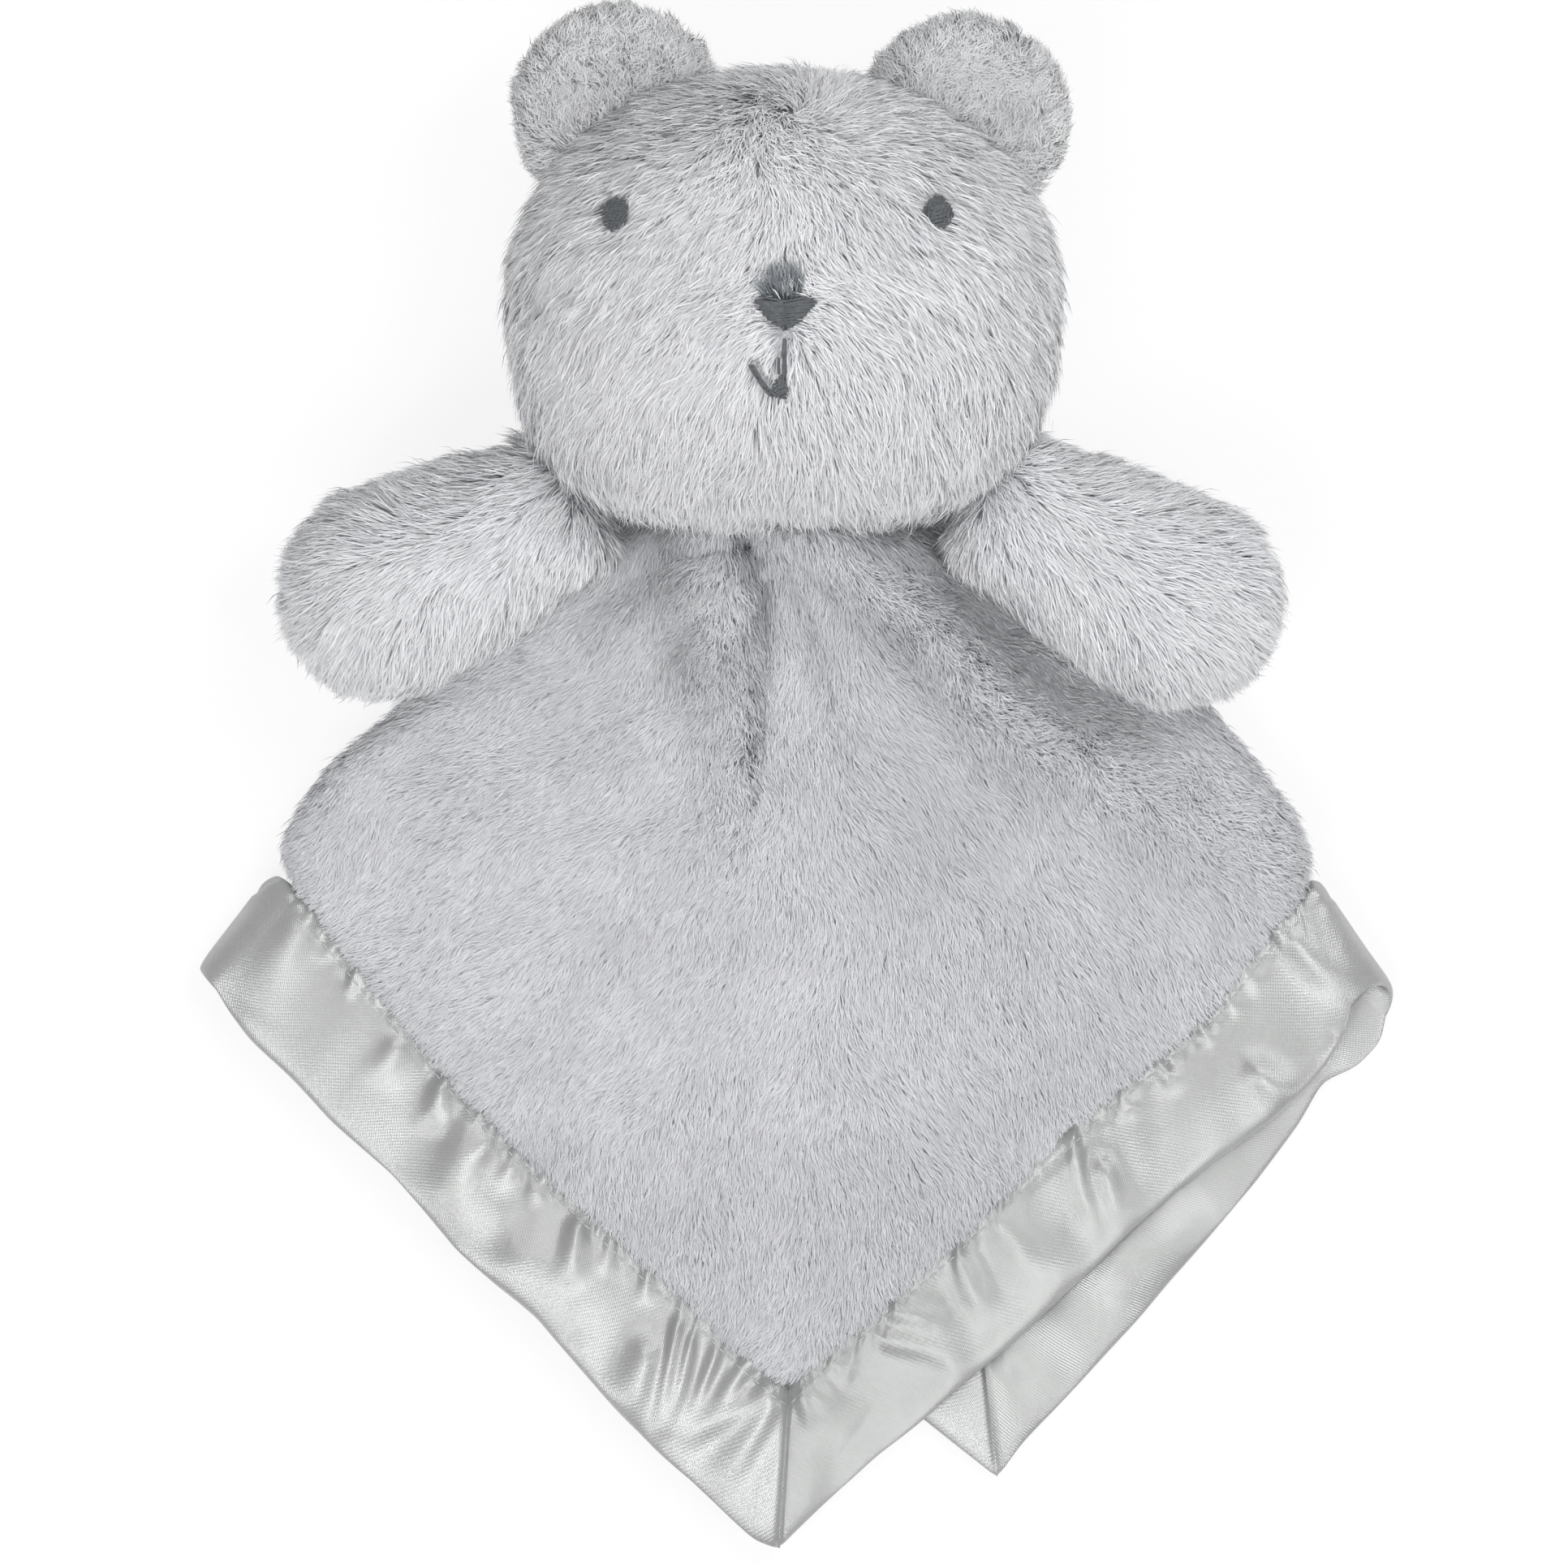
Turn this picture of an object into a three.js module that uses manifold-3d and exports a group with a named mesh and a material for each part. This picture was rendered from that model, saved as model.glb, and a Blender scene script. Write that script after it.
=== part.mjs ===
// A comfort blanket lovey that lies on its back: a plush bear head and two stuffed arms sewn to
// the middle of a square plush blanket with a satin binding, its side corners folded underneath.
// Millimetres. +X points to the right of someone who faces the toy, +Y from the blanket's front
// corner to the top of the head and +Z out of the face. The shapes are drawn from the neck seam,
// and the finished toy is moved so that the middle of its footprint is the origin.
import * as THREE from "three";
import { mergeVertices } from "three/addons/utils/BufferGeometryUtils.js";
import Module from "manifold-3d";

const wasm = await Module();
wasm.setup();

// Gaps between pieces that touch
const gap = 0.3;

// Blanket
const blanketSide = 360;
const bindingWidth = 28.5;
const plushThickness = 5.4;
const rearPlushThickness = 3.6;
const backingThickness = 1.5;
const edgeRounding = 0.6;
const layerGap = 0.3;
const rearShortfall = 18;
const middleGap = 3;
const rearTop = 24;
const wingTop = 46;
const rearTopHalfWidth = 42;
const rearSideLength = 150;

// Satin binding in front
const bindingThickness = 4.2;
const bindingEdge = 1.4;
const bindingDroop = 4;
const ruffleHeight = 1.1;
const leftBindingLength = 175;
const rightBindingLength = 177;
const ruffleSpacing = 21;
const fineRuffleSpacing = 13.5;
const rightFlare = 3;

// Folds along the blanket's sides, as bearings from straight down, and how the sides run
const leftFoldAngle = 42;
const rightFoldAngle = 47.4;
const leftSideAngle = 45;
const rightSideAngle = 43.4;
const foldClearance = 1.2;

// Chest: where the blanket is drawn up to the neck
const chestClearance = 0.5;
const chestHalfWidth = 27;
const chestTop = 10;
const chestFall = 52;
const neckOpening = 9;
const neckOpeningSide = 13;
const foldRelief = 9;
const foldBreadth = 8;
const edgeEase = 1.8;

// Head
const headWidth = 135;
const headHeight = 112;
const headFrontDepth = 48;
const headBackDepth = 46.5;
const restCut = 0.5;
const headWall = 6;
const muzzleRise = 7;
const muzzleRadius = 27;
const muzzleHeight = 40;

// Ears
const earRadius = 26.5;
const earHalfThickness = 5.5;
const earDish = 3;
const earPole = 12;

// Face stitching
const stitchThickness = 1.2;
const eyeWidth = 5.8;
const eyeHeight = 7.8;
const eyeSpacing = 77.6;
const eyeLevel = 74;
const noseWidth = 16.5;
const noseHeight = 8.5;
const noseLevel = 49;
const mouthWidth = 1.9;
const mouthTop = 42.7;
const mouthDrop = 12.9;
const mouthHook = 8;

// Neck
const neckBall = 7;
const neckStem = 5;
const neckSocketWall = 1.7;
const neckDrop = 7.6;
const neckLevel = 30;
const stemLength = 16;
const tieThickness = 2;

// Arms
const armLength = 70.5;
const armWidth = 51;
const armRootWidth = 37;
const armTopHeight = 19;
const armUnderHeight = 17;
const armWall = 5;
const shoulderHalfSpan = 56;
const shoulderRise = 3.5;
const leftArmDroop = 25.5;
const rightArmDroop = 28.4;

// Shares and angles of the forms, which have no length of their own
const outlineUpperPower = 2;
const outlineLowerPower = 2.75;
const domePower = 2.25;
const pillowPower = 2.4;
const rimPower = 4;
const leftEarBearing = 42;
const rightEarBearing = 46;
const chestLipShare = 0.6;
const nosePointShare = 0.24;
const armPoleShare = 0.52;
const chestRowPower = 1.15;
const endTaperShare = 0.16;
const endPuffShare = 0.4;
// The mouth's line: how far along the hook, and how far up the drop
const mouthShares = [[0, 1], [0, 0.5], [0.25, 0], [0.75, 0.33], [1, 0.6]];
// Where the corners of the front's outline come in its row of columns
const cornerShares = [0, 0.2, 0.5, 0.8, 1];
// The blanket's front edge beyond the binding: bearing from straight down, radius as a share of
// the half diagonal
const leftEdgeShares = [
  [54.6, 0.592], [57.5, 0.58], [60.5, 0.535], [63.5, 0.44], [68, 0.39], [77, 0.36], [88, 0.33],
];
const rightEdgeShares = [
  [55.2, 0.624], [58.5, 0.6], [62, 0.535], [66.5, 0.45], [71, 0.4], [78, 0.36], [88, 0.33],
];
// Folds that run out from the neck: bearing, then height, breadth and reach as shares of the fold
// relief, the fold breadth and the half diagonal
const foldShares = [
  { bearing: -10, height: -1.1, breadth: 0.62, reach: 0.27 },
  { bearing: -31, height: 0.55, breadth: 1.5, reach: 0.3 },
  { bearing: 18, height: -0.35, breadth: 1.3, reach: 0.36 },
  { bearing: 52, height: 0.75, breadth: 1.1, reach: 0.6 },
  { bearing: -52, height: 0.3, breadth: 1.2, reach: 0.5 },
  { bearing: 3, height: 0.25, breadth: 1.6, reach: 0.62 },
];

// Counts of facets
const headSpokes = 40;
const headRings = 8;
const headInnerRings = 4;
const armSpokes = 28;
const armRings = 6;
const armInnerRings = 3;
const earSpokes = 28;
const earRings = 5;
const stitchSpokes = 16;
const stitchRings = 3;
const stitchBands = 2;
const chestColumns = 38;
const chestRows = 12;
const bindingColumns = 46;
const bindingRows = 4;
const neckSegments = 20;
const tieFacets = 8;
const arcSteps = 6;
const bisections = 24;

// Heights that follow from the stack of layers: wings, back, front backing, front plush
const halfDiagonal = blanketSide / Math.SQRT2;
const seamDistance = halfDiagonal - bindingWidth * Math.SQRT2;
const rearLayers = rearPlushThickness + layerGap + backingThickness;
const backFloor = rearLayers + layerGap;
const frontBackingFloor = backFloor + rearLayers + layerGap;
const frontPlushFloor = frontBackingFloor + backingThickness + layerGap;
const plateTop = frontPlushFloor + plushThickness;
const socketRadius = neckBall + gap + neckSocketWall;
const chestSwell = neckLevel + socketRadius + chestClearance + plushThickness - plateTop;
const headSeam = headBackDepth - restCut;
const headMiddle = headHeight / 2;
const armLevel = plateTop + gap + armUnderHeight + gap / 2;

const radians = THREE.MathUtils.degToRad;
const clamp = THREE.MathUtils.clamp;

const colours = {
  plush: new THREE.MeshStandardMaterial({ color: 0xcfd1d6, roughness: 0.95, metalness: 0 }),
  backing: new THREE.MeshStandardMaterial({ color: 0xc9cbd0, roughness: 0.9, metalness: 0 }),
  satin: new THREE.MeshStandardMaterial({ color: 0xb9bdbb, roughness: 0.32, metalness: 0.05 }),
  embroidery: new THREE.MeshStandardMaterial({ color: 0x55585c, roughness: 0.7, metalness: 0 }),
  thread: new THREE.MeshStandardMaterial({ color: 0xb4b7bb, roughness: 0.6, metalness: 0 }),
  stuffing: new THREE.MeshStandardMaterial({ color: 0xf2f2ee, roughness: 1, metalness: 0 }),
};

// A closed geometry from points and triangles, turned inside out if its faces point inwards
function closedGeometry(points, triangles) {
  const volume = triangles.reduce((sum, [a, b, c]) => {
    return sum + points[a].dot(points[b].clone().cross(points[c]));
  }, 0);
  const outward = volume < 0 ? triangles.map(([a, b, c]) => [a, c, b]) : triangles;
  const geometry = new THREE.BufferGeometry();
  geometry.setFromPoints(points);
  geometry.setIndex(outward.flat());
  geometry.computeVertexNormals();
  return geometry;
}

// A skin over a row of rings, each a list of points, where a ring of one point is a pole
function skinOverRings(rings) {
  const points = rings.flat();
  const starts = rings.map((_, row) => rings.slice(0, row).flat().length);
  const triangles = [];
  for (let row = 0; row + 1 < rings.length; row += 1) {
    const spokes = Math.max(rings[row].length, rings[row + 1].length);
    for (let spoke = 0; spoke < spokes; spoke += 1) {
      const [a, b, c, d] = [[row, spoke], [row, spoke + 1], [row + 1, spoke + 1], [row + 1, spoke]]
        .map(([ring, place]) => starts[ring] + (place % rings[ring].length));
      if (a !== b) triangles.push([a, b, c]);
      if (c !== d) triangles.push([a, c, d]);
    }
  }
  return closedGeometry(points, triangles);
}

// Rings from a pole out to the rim of a form: place(angle, share) gives each point
function ringsOf(spokes, count, place) {
  const rings = [[place(0, 0)]];
  for (let ring = 1; ring <= count; ring += 1) {
    const share = Math.sin((ring / count) * Math.PI / 2);
    rings.push(Array.from({ length: spokes }, (_, spoke) => {
      return place((spoke / spokes) * 2 * Math.PI, share);
    }));
  }
  return rings;
}

// A slab over a grid of u and v from 0 to 1, between two faces that give a point each
function slabOverGrid(columns, rows, upper, lower) {
  const across = columns + 1;
  const face = (place) => Array.from({ length: across * (rows + 1) }, (_, n) => {
    return place((n % across) / columns, Math.floor(n / across) / rows);
  });
  const points = [...face(upper), ...face(lower)];
  const under = across * (rows + 1);
  const triangles = [];
  for (let row = 0; row < rows; row += 1) {
    for (let column = 0; column < columns; column += 1) {
      const a = row * across + column;
      const b = a + 1;
      const c = a + across;
      const d = c + 1;
      triangles.push([a, b, d], [a, d, c]);
      triangles.push([under + a, under + d, under + b], [under + a, under + c, under + d]);
    }
  }
  const rim = [];
  for (let column = 0; column < columns; column += 1) rim.push(column);
  for (let row = 0; row < rows; row += 1) rim.push(row * across + columns);
  for (let column = columns; column > 0; column -= 1) rim.push(rows * across + column);
  for (let row = rows; row > 0; row -= 1) rim.push(row * across);
  rim.forEach((a, n) => {
    const b = rim[(n + 1) % rim.length];
    triangles.push([a, under + a, under + b], [a, under + b, b]);
  });
  return closedGeometry(points, triangles);
}

// A flat layer of cloth with eased edges
function clothPlate(outline, floor, thickness) {
  const shape = new THREE.Shape(outline);
  const geometry = new THREE.ExtrudeGeometry(shape, {
    depth: thickness - 2 * edgeRounding,
    bevelThickness: edgeRounding,
    bevelSize: edgeRounding,
    bevelOffset: -edgeRounding,
    bevelSegments: 1,
  });
  return geometry.translate(0, 0, floor + edgeRounding);
}

// Cuts one closed geometry from another
function solidOf(geometry) {
  const bare = geometry.clone();
  bare.deleteAttribute("normal");
  bare.deleteAttribute("uv");
  const merged = mergeVertices(bare);
  return new wasm.Manifold(new wasm.Mesh({
    numProp: 3,
    vertProperties: merged.attributes.position.array,
    triVerts: new Uint32Array(merged.index.array),
  }));
}

function cutAway(geometry, tool) {
  const cut = solidOf(geometry).subtract(solidOf(tool)).getMesh();
  const result = new THREE.BufferGeometry();
  result.setAttribute("position", new THREE.BufferAttribute(cut.vertProperties, 3));
  result.setIndex(new THREE.BufferAttribute(cut.triVerts, 1));
  result.computeVertexNormals();
  return result;
}

function named(name, geometry, material) {
  const mesh = new THREE.Mesh(geometry, material);
  mesh.name = name;
  return mesh;
}

// How far a ray from a point goes before it leaves a region
function reach(origin, angle, longest, inside) {
  const direction = new THREE.Vector2(Math.cos(angle), Math.sin(angle));
  let near = 0;
  let far = longest;
  for (let step = 0; step < bisections; step += 1) {
    const middle = (near + far) / 2;
    if (inside(origin.clone().addScaledVector(direction, middle))) near = middle;
    else far = middle;
  }
  return near;
}

// Head: two plush halves that meet at a seam round the outline, over a ball of stuffing

function headRadius(angle) {
  const power = Math.sin(angle) < 0 ? outlineLowerPower : outlineUpperPower;
  const across = Math.abs(Math.cos(angle) / (headWidth / 2)) ** power;
  const along = Math.abs(Math.sin(angle) / (headHeight / 2)) ** power;
  return (across + along) ** (-1 / power);
}

function dome(share, height) {
  return height * Math.max(0, 1 - share ** domePower) ** (1 / domePower);
}

function muzzle(x, y) {
  return muzzleRise * Math.exp(-(x ** 2 + (y - muzzleHeight) ** 2) / muzzleRadius ** 2);
}

// A point of the head's surface, inset from the outside; side is 1 in front and -1 behind
function headPoint(angle, share, side, inset, seamGap) {
  const radius = share * (headRadius(angle) - inset);
  const x = radius * Math.cos(angle);
  const y = headMiddle + radius * Math.sin(angle);
  const depth = (side > 0 ? headFrontDepth : headBackDepth) - inset;
  const lift = side > 0 ? muzzle(x, y) * (1 - share ** rimPower) : 0;
  const z = headSeam + side * (dome(share, depth) + lift + seamGap);
  return new THREE.Vector3(x, y, Math.max(z, 0));
}

function headShell(side) {
  const seamGap = gap / 2;
  const outer = ringsOf(headSpokes, headRings, (angle, share) => {
    return headPoint(angle, share, side, 0, seamGap);
  });
  const inner = ringsOf(headSpokes, headInnerRings, (angle, share) => {
    return headPoint(angle, share, side, headWall, seamGap);
  });
  return skinOverRings([...outer, ...inner.reverse()]);
}

function headFilling() {
  const inset = headWall + gap;
  const front = ringsOf(headSpokes, headInnerRings, (angle, share) => {
    return headPoint(angle, share, 1, inset, 0);
  });
  const back = ringsOf(headSpokes, headInnerRings, (angle, share) => {
    return headPoint(angle, share, -1, inset, 0);
  });
  return skinOverRings([...front, ...back.reverse().slice(1)]);
}

// The height of the front of the head over a point of its plan
function faceHeight(x, y) {
  const angle = Math.atan2(y - headMiddle, x);
  const share = Math.hypot(x, y - headMiddle) / headRadius(angle);
  return headPoint(angle, Math.min(share, 1), 1, 0, gap / 2).z;
}

// The neck's stem enters the back half of the head through a round hole
function neckHole() {
  const radius = neckStem + gap;
  const hole = new THREE.CylinderGeometry(radius, radius, 2 * stemLength, neckSegments);
  return hole.translate(0, gap - neckDrop, neckLevel);
}

// A raised patch of stitching on the face
function patch(centreX, centreY, radiusAt) {
  const surface = (angle, share, rise) => {
    const radius = share * radiusAt(angle);
    const x = centreX + radius * Math.cos(angle);
    const y = centreY + radius * Math.sin(angle);
    return new THREE.Vector3(x, y, faceHeight(x, y) + gap + rise);
  };
  const crown = ringsOf(stitchSpokes, stitchRings, (angle, share) => {
    const edge = 1 - share ** outlineUpperPower;
    return surface(angle, share, stitchThickness * (1 + edge) / 2);
  });
  const base = ringsOf(stitchSpokes, stitchRings, (angle, share) => surface(angle, share, 0));
  return skinOverRings([...crown, ...base.reverse()]);
}

function ovalRadius(angle, width, height) {
  return 1 / Math.hypot(Math.cos(angle) / (width / 2), Math.sin(angle) / (height / 2));
}

function eye(side) {
  return patch(side * eyeSpacing / 2, eyeLevel, (angle) => ovalRadius(angle, eyeWidth, eyeHeight));
}

// The nose is a rounded triangle with its point down
function nose() {
  return patch(0, noseLevel, (angle) => {
    const point = 1 + nosePointShare * Math.cos(3 * (angle + Math.PI / 2));
    return point * ovalRadius(angle, noseWidth, noseHeight);
  });
}

// The mouth drops from the nose and hooks up to one side
function mouth() {
  const low = mouthTop - mouthDrop;
  const line = new THREE.CatmullRomCurve3(mouthShares.map(([across, up]) => {
    return new THREE.Vector3(-mouthHook * across, low + mouthDrop * up, 0);
  }));
  const place = (u, v, rise) => {
    const point = line.getPoint(u);
    const along = line.getTangent(u);
    const side = (v - 0.5) * mouthWidth;
    const x = point.x - along.y * side;
    const y = point.y + along.x * side;
    return new THREE.Vector3(x, y, faceHeight(x, y) + gap + rise);
  };
  return slabOverGrid(
    stitchSpokes, stitchBands, (u, v) => place(u, v, stitchThickness), (u, v) => place(u, v, 0),
  );
}

// Ears: two discs of plush each, cut off along the head's outline

function earCentre(side) {
  const bearing = side < 0 ? leftEarBearing : rightEarBearing;
  const angle = radians(90 - side * bearing);
  const radius = headRadius(angle);
  return new THREE.Vector2(radius * Math.cos(angle), headMiddle + radius * Math.sin(angle));
}

function earDisc(side, facing) {
  const centre = earCentre(side);
  const outward = centre.clone().sub(new THREE.Vector2(0, headMiddle)).normalize();
  const pole = centre.clone().addScaledVector(outward, earPole);
  const inside = (point) => {
    const angle = Math.atan2(point.y - headMiddle, point.x);
    const fromHead = Math.hypot(point.x, point.y - headMiddle) - headRadius(angle);
    return point.distanceTo(centre) < earRadius && fromHead > gap;
  };
  const place = (angle, share, height) => {
    const radius = share * reach(pole, angle, 2 * earRadius, inside);
    const x = pole.x + radius * Math.cos(angle);
    const y = pole.y + radius * Math.sin(angle);
    return new THREE.Vector3(x, y, headSeam + facing * (gap / 2 + height));
  };
  const thickness = earHalfThickness - gap / 2;
  const outer = ringsOf(earSpokes, earRings, (angle, share) => {
    const crown = thickness * Math.sqrt(1 - share ** rimPower);
    const dish = facing > 0 ? earDish * (1 - share ** 2) ** 2 : 0;
    return place(angle, share, crown - dish);
  });
  const flat = [[place(0, 0, 0)]];
  return skinOverRings([...outer, ...flat]);
}

// Arms: a plush upper and under half over stuffing, cut straight at the shoulder

function armFrame(side) {
  const droop = radians(side < 0 ? leftArmDroop : rightArmDroop);
  const along = new THREE.Vector2(side * Math.cos(droop), -Math.sin(droop));
  const shoulder = new THREE.Vector2(side * shoulderHalfSpan, shoulderRise);
  return { along, shoulder };
}

// Plan of an arm in lengths along it and across it: a root that widens to a round paw
function insideArm(u, v, inset) {
  const paw = armWidth / 2 - inset;
  const centre = armLength - armWidth / 2;
  if (u < inset || u > armLength - inset) return false;
  if (u > centre) return Math.hypot(u - centre, v) < paw;
  const widening = Math.sin((u / centre) * Math.PI / 2);
  const half = THREE.MathUtils.lerp(armRootWidth, armWidth, widening) / 2 - inset;
  return Math.abs(v) < half;
}

function armPoint(side, angle, share, inset, height) {
  const { along, shoulder } = armFrame(side);
  const pole = new THREE.Vector2(armLength * armPoleShare, 0);
  const inside = (point) => insideArm(point.x, point.y, inset);
  const radius = share * reach(pole, angle, armLength, inside);
  const u = pole.x + radius * Math.cos(angle);
  const v = radius * Math.sin(angle);
  const crown = Math.max(0, 1 - share ** pillowPower) ** (1 / pillowPower);
  const x = shoulder.x + along.x * u - along.y * v;
  const y = shoulder.y + along.y * u + along.x * v;
  return new THREE.Vector3(x, y, armLevel + height * crown);
}

function armShell(side, facing) {
  const height = facing > 0 ? armTopHeight : armUnderHeight;
  const place = (inset) => (angle, share) => {
    const point = armPoint(side, angle, share, inset, facing * (height - inset));
    return point.setZ(point.z + facing * gap / 2);
  };
  const outer = ringsOf(armSpokes, armRings, place(0));
  const inner = ringsOf(armSpokes, armInnerRings, place(armWall));
  return skinOverRings([...outer, ...inner.reverse()]);
}

function armFilling(side) {
  const inset = armWall + gap;
  const half = (height) => ringsOf(armSpokes, armInnerRings, (angle, share) => {
    return armPoint(side, angle, share, inset, height);
  });
  const upper = half(armTopHeight - inset);
  const under = half(inset - armUnderHeight);
  return skinOverRings([...upper, ...under.reverse().slice(1)]);
}

// Neck: the blanket's gathered middle holds a round-ended stem that goes up into the head

function arcPoints(radius, from, to, count) {
  return Array.from({ length: count + 1 }, (_, n) => {
    const angle = radians(from + (to - from) * n / count);
    return new THREE.Vector2(radius * Math.cos(angle), radius * Math.sin(angle));
  });
}

function turned(profile) {
  return new THREE.LatheGeometry(profile, neckSegments).translate(0, -neckDrop, neckLevel);
}

function neckStemForm() {
  const shoulder = THREE.MathUtils.radToDeg(Math.acos(neckStem / neckBall));
  const ball = arcPoints(neckBall, -90, shoulder, arcSteps);
  ball[0].x = 0;
  return turned([...ball, new THREE.Vector2(neckStem, stemLength), new THREE.Vector2(0, stemLength)]);
}

function neckSocketForm() {
  const outside = arcPoints(socketRadius, -90, 0, arcSteps);
  const hollow = arcPoints(neckBall + gap, 0, -90, arcSteps);
  outside[0].x = 0;
  hollow.at(-1).x = 0;
  return turned([...outside, ...hollow]);
}

function neckTieForm() {
  const ringRadius = neckStem + gap + tieThickness / 2;
  const ring = new THREE.TorusGeometry(ringRadius, tieThickness / 2, tieFacets, neckSegments);
  const level = Math.sqrt(neckBall ** 2 - neckStem ** 2) + gap + tieThickness / 2;
  return ring.rotateX(Math.PI / 2).translate(0, level - neckDrop, neckLevel);
}

// Blanket front: a sheet of plush drawn up at the neck, with folds that run out from there

// Directions along a side of the front corner, away from the corner, and out across its binding
function sideFrame(side) {
  const angle = radians(side < 0 ? leftSideAngle : rightSideAngle);
  const along = new THREE.Vector2(side * Math.cos(angle), Math.sin(angle));
  const outward = new THREE.Vector2(side * Math.sin(angle), -Math.cos(angle));
  return { along, outward };
}

function seamRadius(bearing) {
  const { outward } = sideFrame(bearing < 0 ? -1 : 1);
  const direction = new THREE.Vector2(Math.sin(bearing), -Math.cos(bearing));
  return seamDistance * -outward.y / direction.dot(outward);
}

function frontRadius(bearing) {
  const table = bearing < 0 ? leftEdgeShares : rightEdgeShares;
  const degrees = THREE.MathUtils.radToDeg(Math.abs(bearing));
  if (degrees <= table[0][0]) return seamRadius(bearing);
  let next = 1;
  while (next < table.length - 1 && table[next][0] < degrees) next += 1;
  const [from, fromShare] = table[next - 1];
  const [to, toShare] = table[next];
  const share = THREE.MathUtils.mapLinear(degrees, from, to, fromShare, toShare);
  return Math.min(share * halfDiagonal, seamRadius(bearing));
}

// Bearings of the sheet's columns, with one on each corner of the outline
function frontBearing(u) {
  const corners = [
    -leftEdgeShares.at(-1)[0], -leftEdgeShares[0][0], 0, rightEdgeShares[0][0],
    rightEdgeShares.at(-1)[0],
  ];
  const edges = cornerShares.map((share) => Math.round(share * chestColumns) / chestColumns);
  const next = Math.max(1, edges.findIndex((edge) => edge >= u));
  return radians(THREE.MathUtils.mapLinear(
    u, edges[next - 1], edges[next], corners[next - 1], corners[next],
  ));
}

function foldHeight(x, y) {
  const distance = Math.hypot(x, y);
  return foldShares.reduce((sum, fold) => {
    const bearing = radians(fold.bearing);
    const along = x * Math.sin(bearing) - y * Math.cos(bearing);
    const off = x * Math.cos(bearing) + y * Math.sin(bearing);
    const run = clamp(1 - distance / (fold.reach * halfDiagonal), 0, 1);
    const side = along > 0 ? Math.exp(-((off / (fold.breadth * foldBreadth)) ** 2)) : 0;
    const rise = clamp(distance / neckOpeningSide - 1, 0, 1);
    return sum + fold.height * foldRelief * side * Math.sqrt(run) * rise;
  }, 0);
}

function chestHeight(x, y) {
  const down = -y;
  const lip = chestLipShare + (1 - chestLipShare) * THREE.MathUtils.smoothstep(down, 0, chestTop);
  const fall = Math.exp(-((Math.max(0, down - chestTop) / chestFall) ** 2));
  const swell = chestSwell * Math.exp(-((x / chestHalfWidth) ** 2)) * lip * fall;
  return plateTop + Math.max(0, swell + foldHeight(x, y));
}

function frontPlush() {
  const plan = (u, v) => {
    const bearing = frontBearing(u);
    const side = Math.min(1, Math.abs(bearing) / (Math.PI / 2));
    const inner = THREE.MathUtils.lerp(neckOpening, neckOpeningSide, side);
    const outer = frontRadius(bearing) - gap;
    const radius = THREE.MathUtils.lerp(inner, outer, v ** chestRowPower);
    return new THREE.Vector2(radius * Math.sin(bearing), -radius * Math.cos(bearing));
  };
  const onEdge = (u, v) => u === 0 || u === 1 || v === 0 || v === 1;
  const upper = (u, v) => {
    const point = plan(u, v);
    const eased = onEdge(u, v) ? edgeEase : 0;
    return new THREE.Vector3(point.x, point.y, chestHeight(point.x, point.y) - eased);
  };
  const lower = (u, v) => {
    const point = plan(u, v);
    return new THREE.Vector3(point.x, point.y, chestHeight(point.x, point.y) - plushThickness);
  };
  return slabOverGrid(chestColumns, chestRows, upper, lower);
}

function frontBacking() {
  const outline = [];
  for (let column = 0; column <= chestColumns; column += 1) {
    const bearing = frontBearing(column / chestColumns);
    const radius = frontRadius(bearing) - gap;
    outline.push(new THREE.Vector2(radius * Math.sin(bearing), -radius * Math.cos(bearing)));
  }
  outline.push(new THREE.Vector2(neckOpeningSide, -chestTop));
  outline.push(new THREE.Vector2(-neckOpeningSide, -chestTop));
  return clothPlate(outline, frontBackingFloor, backingThickness);
}

// A length of the front binding: padded satin that puckers along its seam and droops outwards
function frontBinding(side) {
  const length = side < 0 ? leftBindingLength : rightBindingLength;
  const flare = side < 0 ? 0 : rightFlare;
  const { along, outward } = sideFrame(side);
  const corner = new THREE.Vector2(side * gap / 2, -seamDistance);
  const rearReach = bindingWidth - rearShortfall * Math.SQRT1_2;
  const middle = (u, v) => {
    const width = bindingWidth + flare * u ** 2;
    const out = THREE.MathUtils.lerp(gap, width, v);
    const mitre = -out * along.y / Math.abs(along.x);
    const run = THREE.MathUtils.lerp(mitre, length, u);
    const point = corner.clone().addScaledVector(along, run).addScaledVector(outward, out);
    const turn = 2 * Math.PI * u * length;
    const wave = Math.sin(turn / ruffleSpacing) + Math.sin(turn / fineRuffleSpacing + side);
    const pucker = ruffleHeight * wave / 2 * (4 * v * (1 - v));
    const droop = bindingDroop * clamp((out - rearReach) / (bindingWidth - rearReach), 0, 1) ** 2;
    const floor = frontBackingFloor + ruffleHeight - droop;
    return { point, height: floor + bindingThickness / 2 + pucker };
  };
  const halfThickness = (u, v) => {
    const taper = clamp((1 - u) / endTaperShare, endPuffShare, 1);
    const puff = taper * Math.sqrt(Math.max(0, 1 - (2 * v - 1) ** 2));
    return THREE.MathUtils.lerp(bindingEdge, bindingThickness, puff) / 2;
  };
  const face = (way) => (u, v) => {
    const { point, height } = middle(u, v);
    return new THREE.Vector3(point.x, point.y, height + way * halfThickness(u, v));
  };
  return slabOverGrid(bindingColumns, bindingRows, face(1), face(-1));
}

// Wings: the blanket's side corners, folded behind along a line and drawn where they lie

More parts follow.
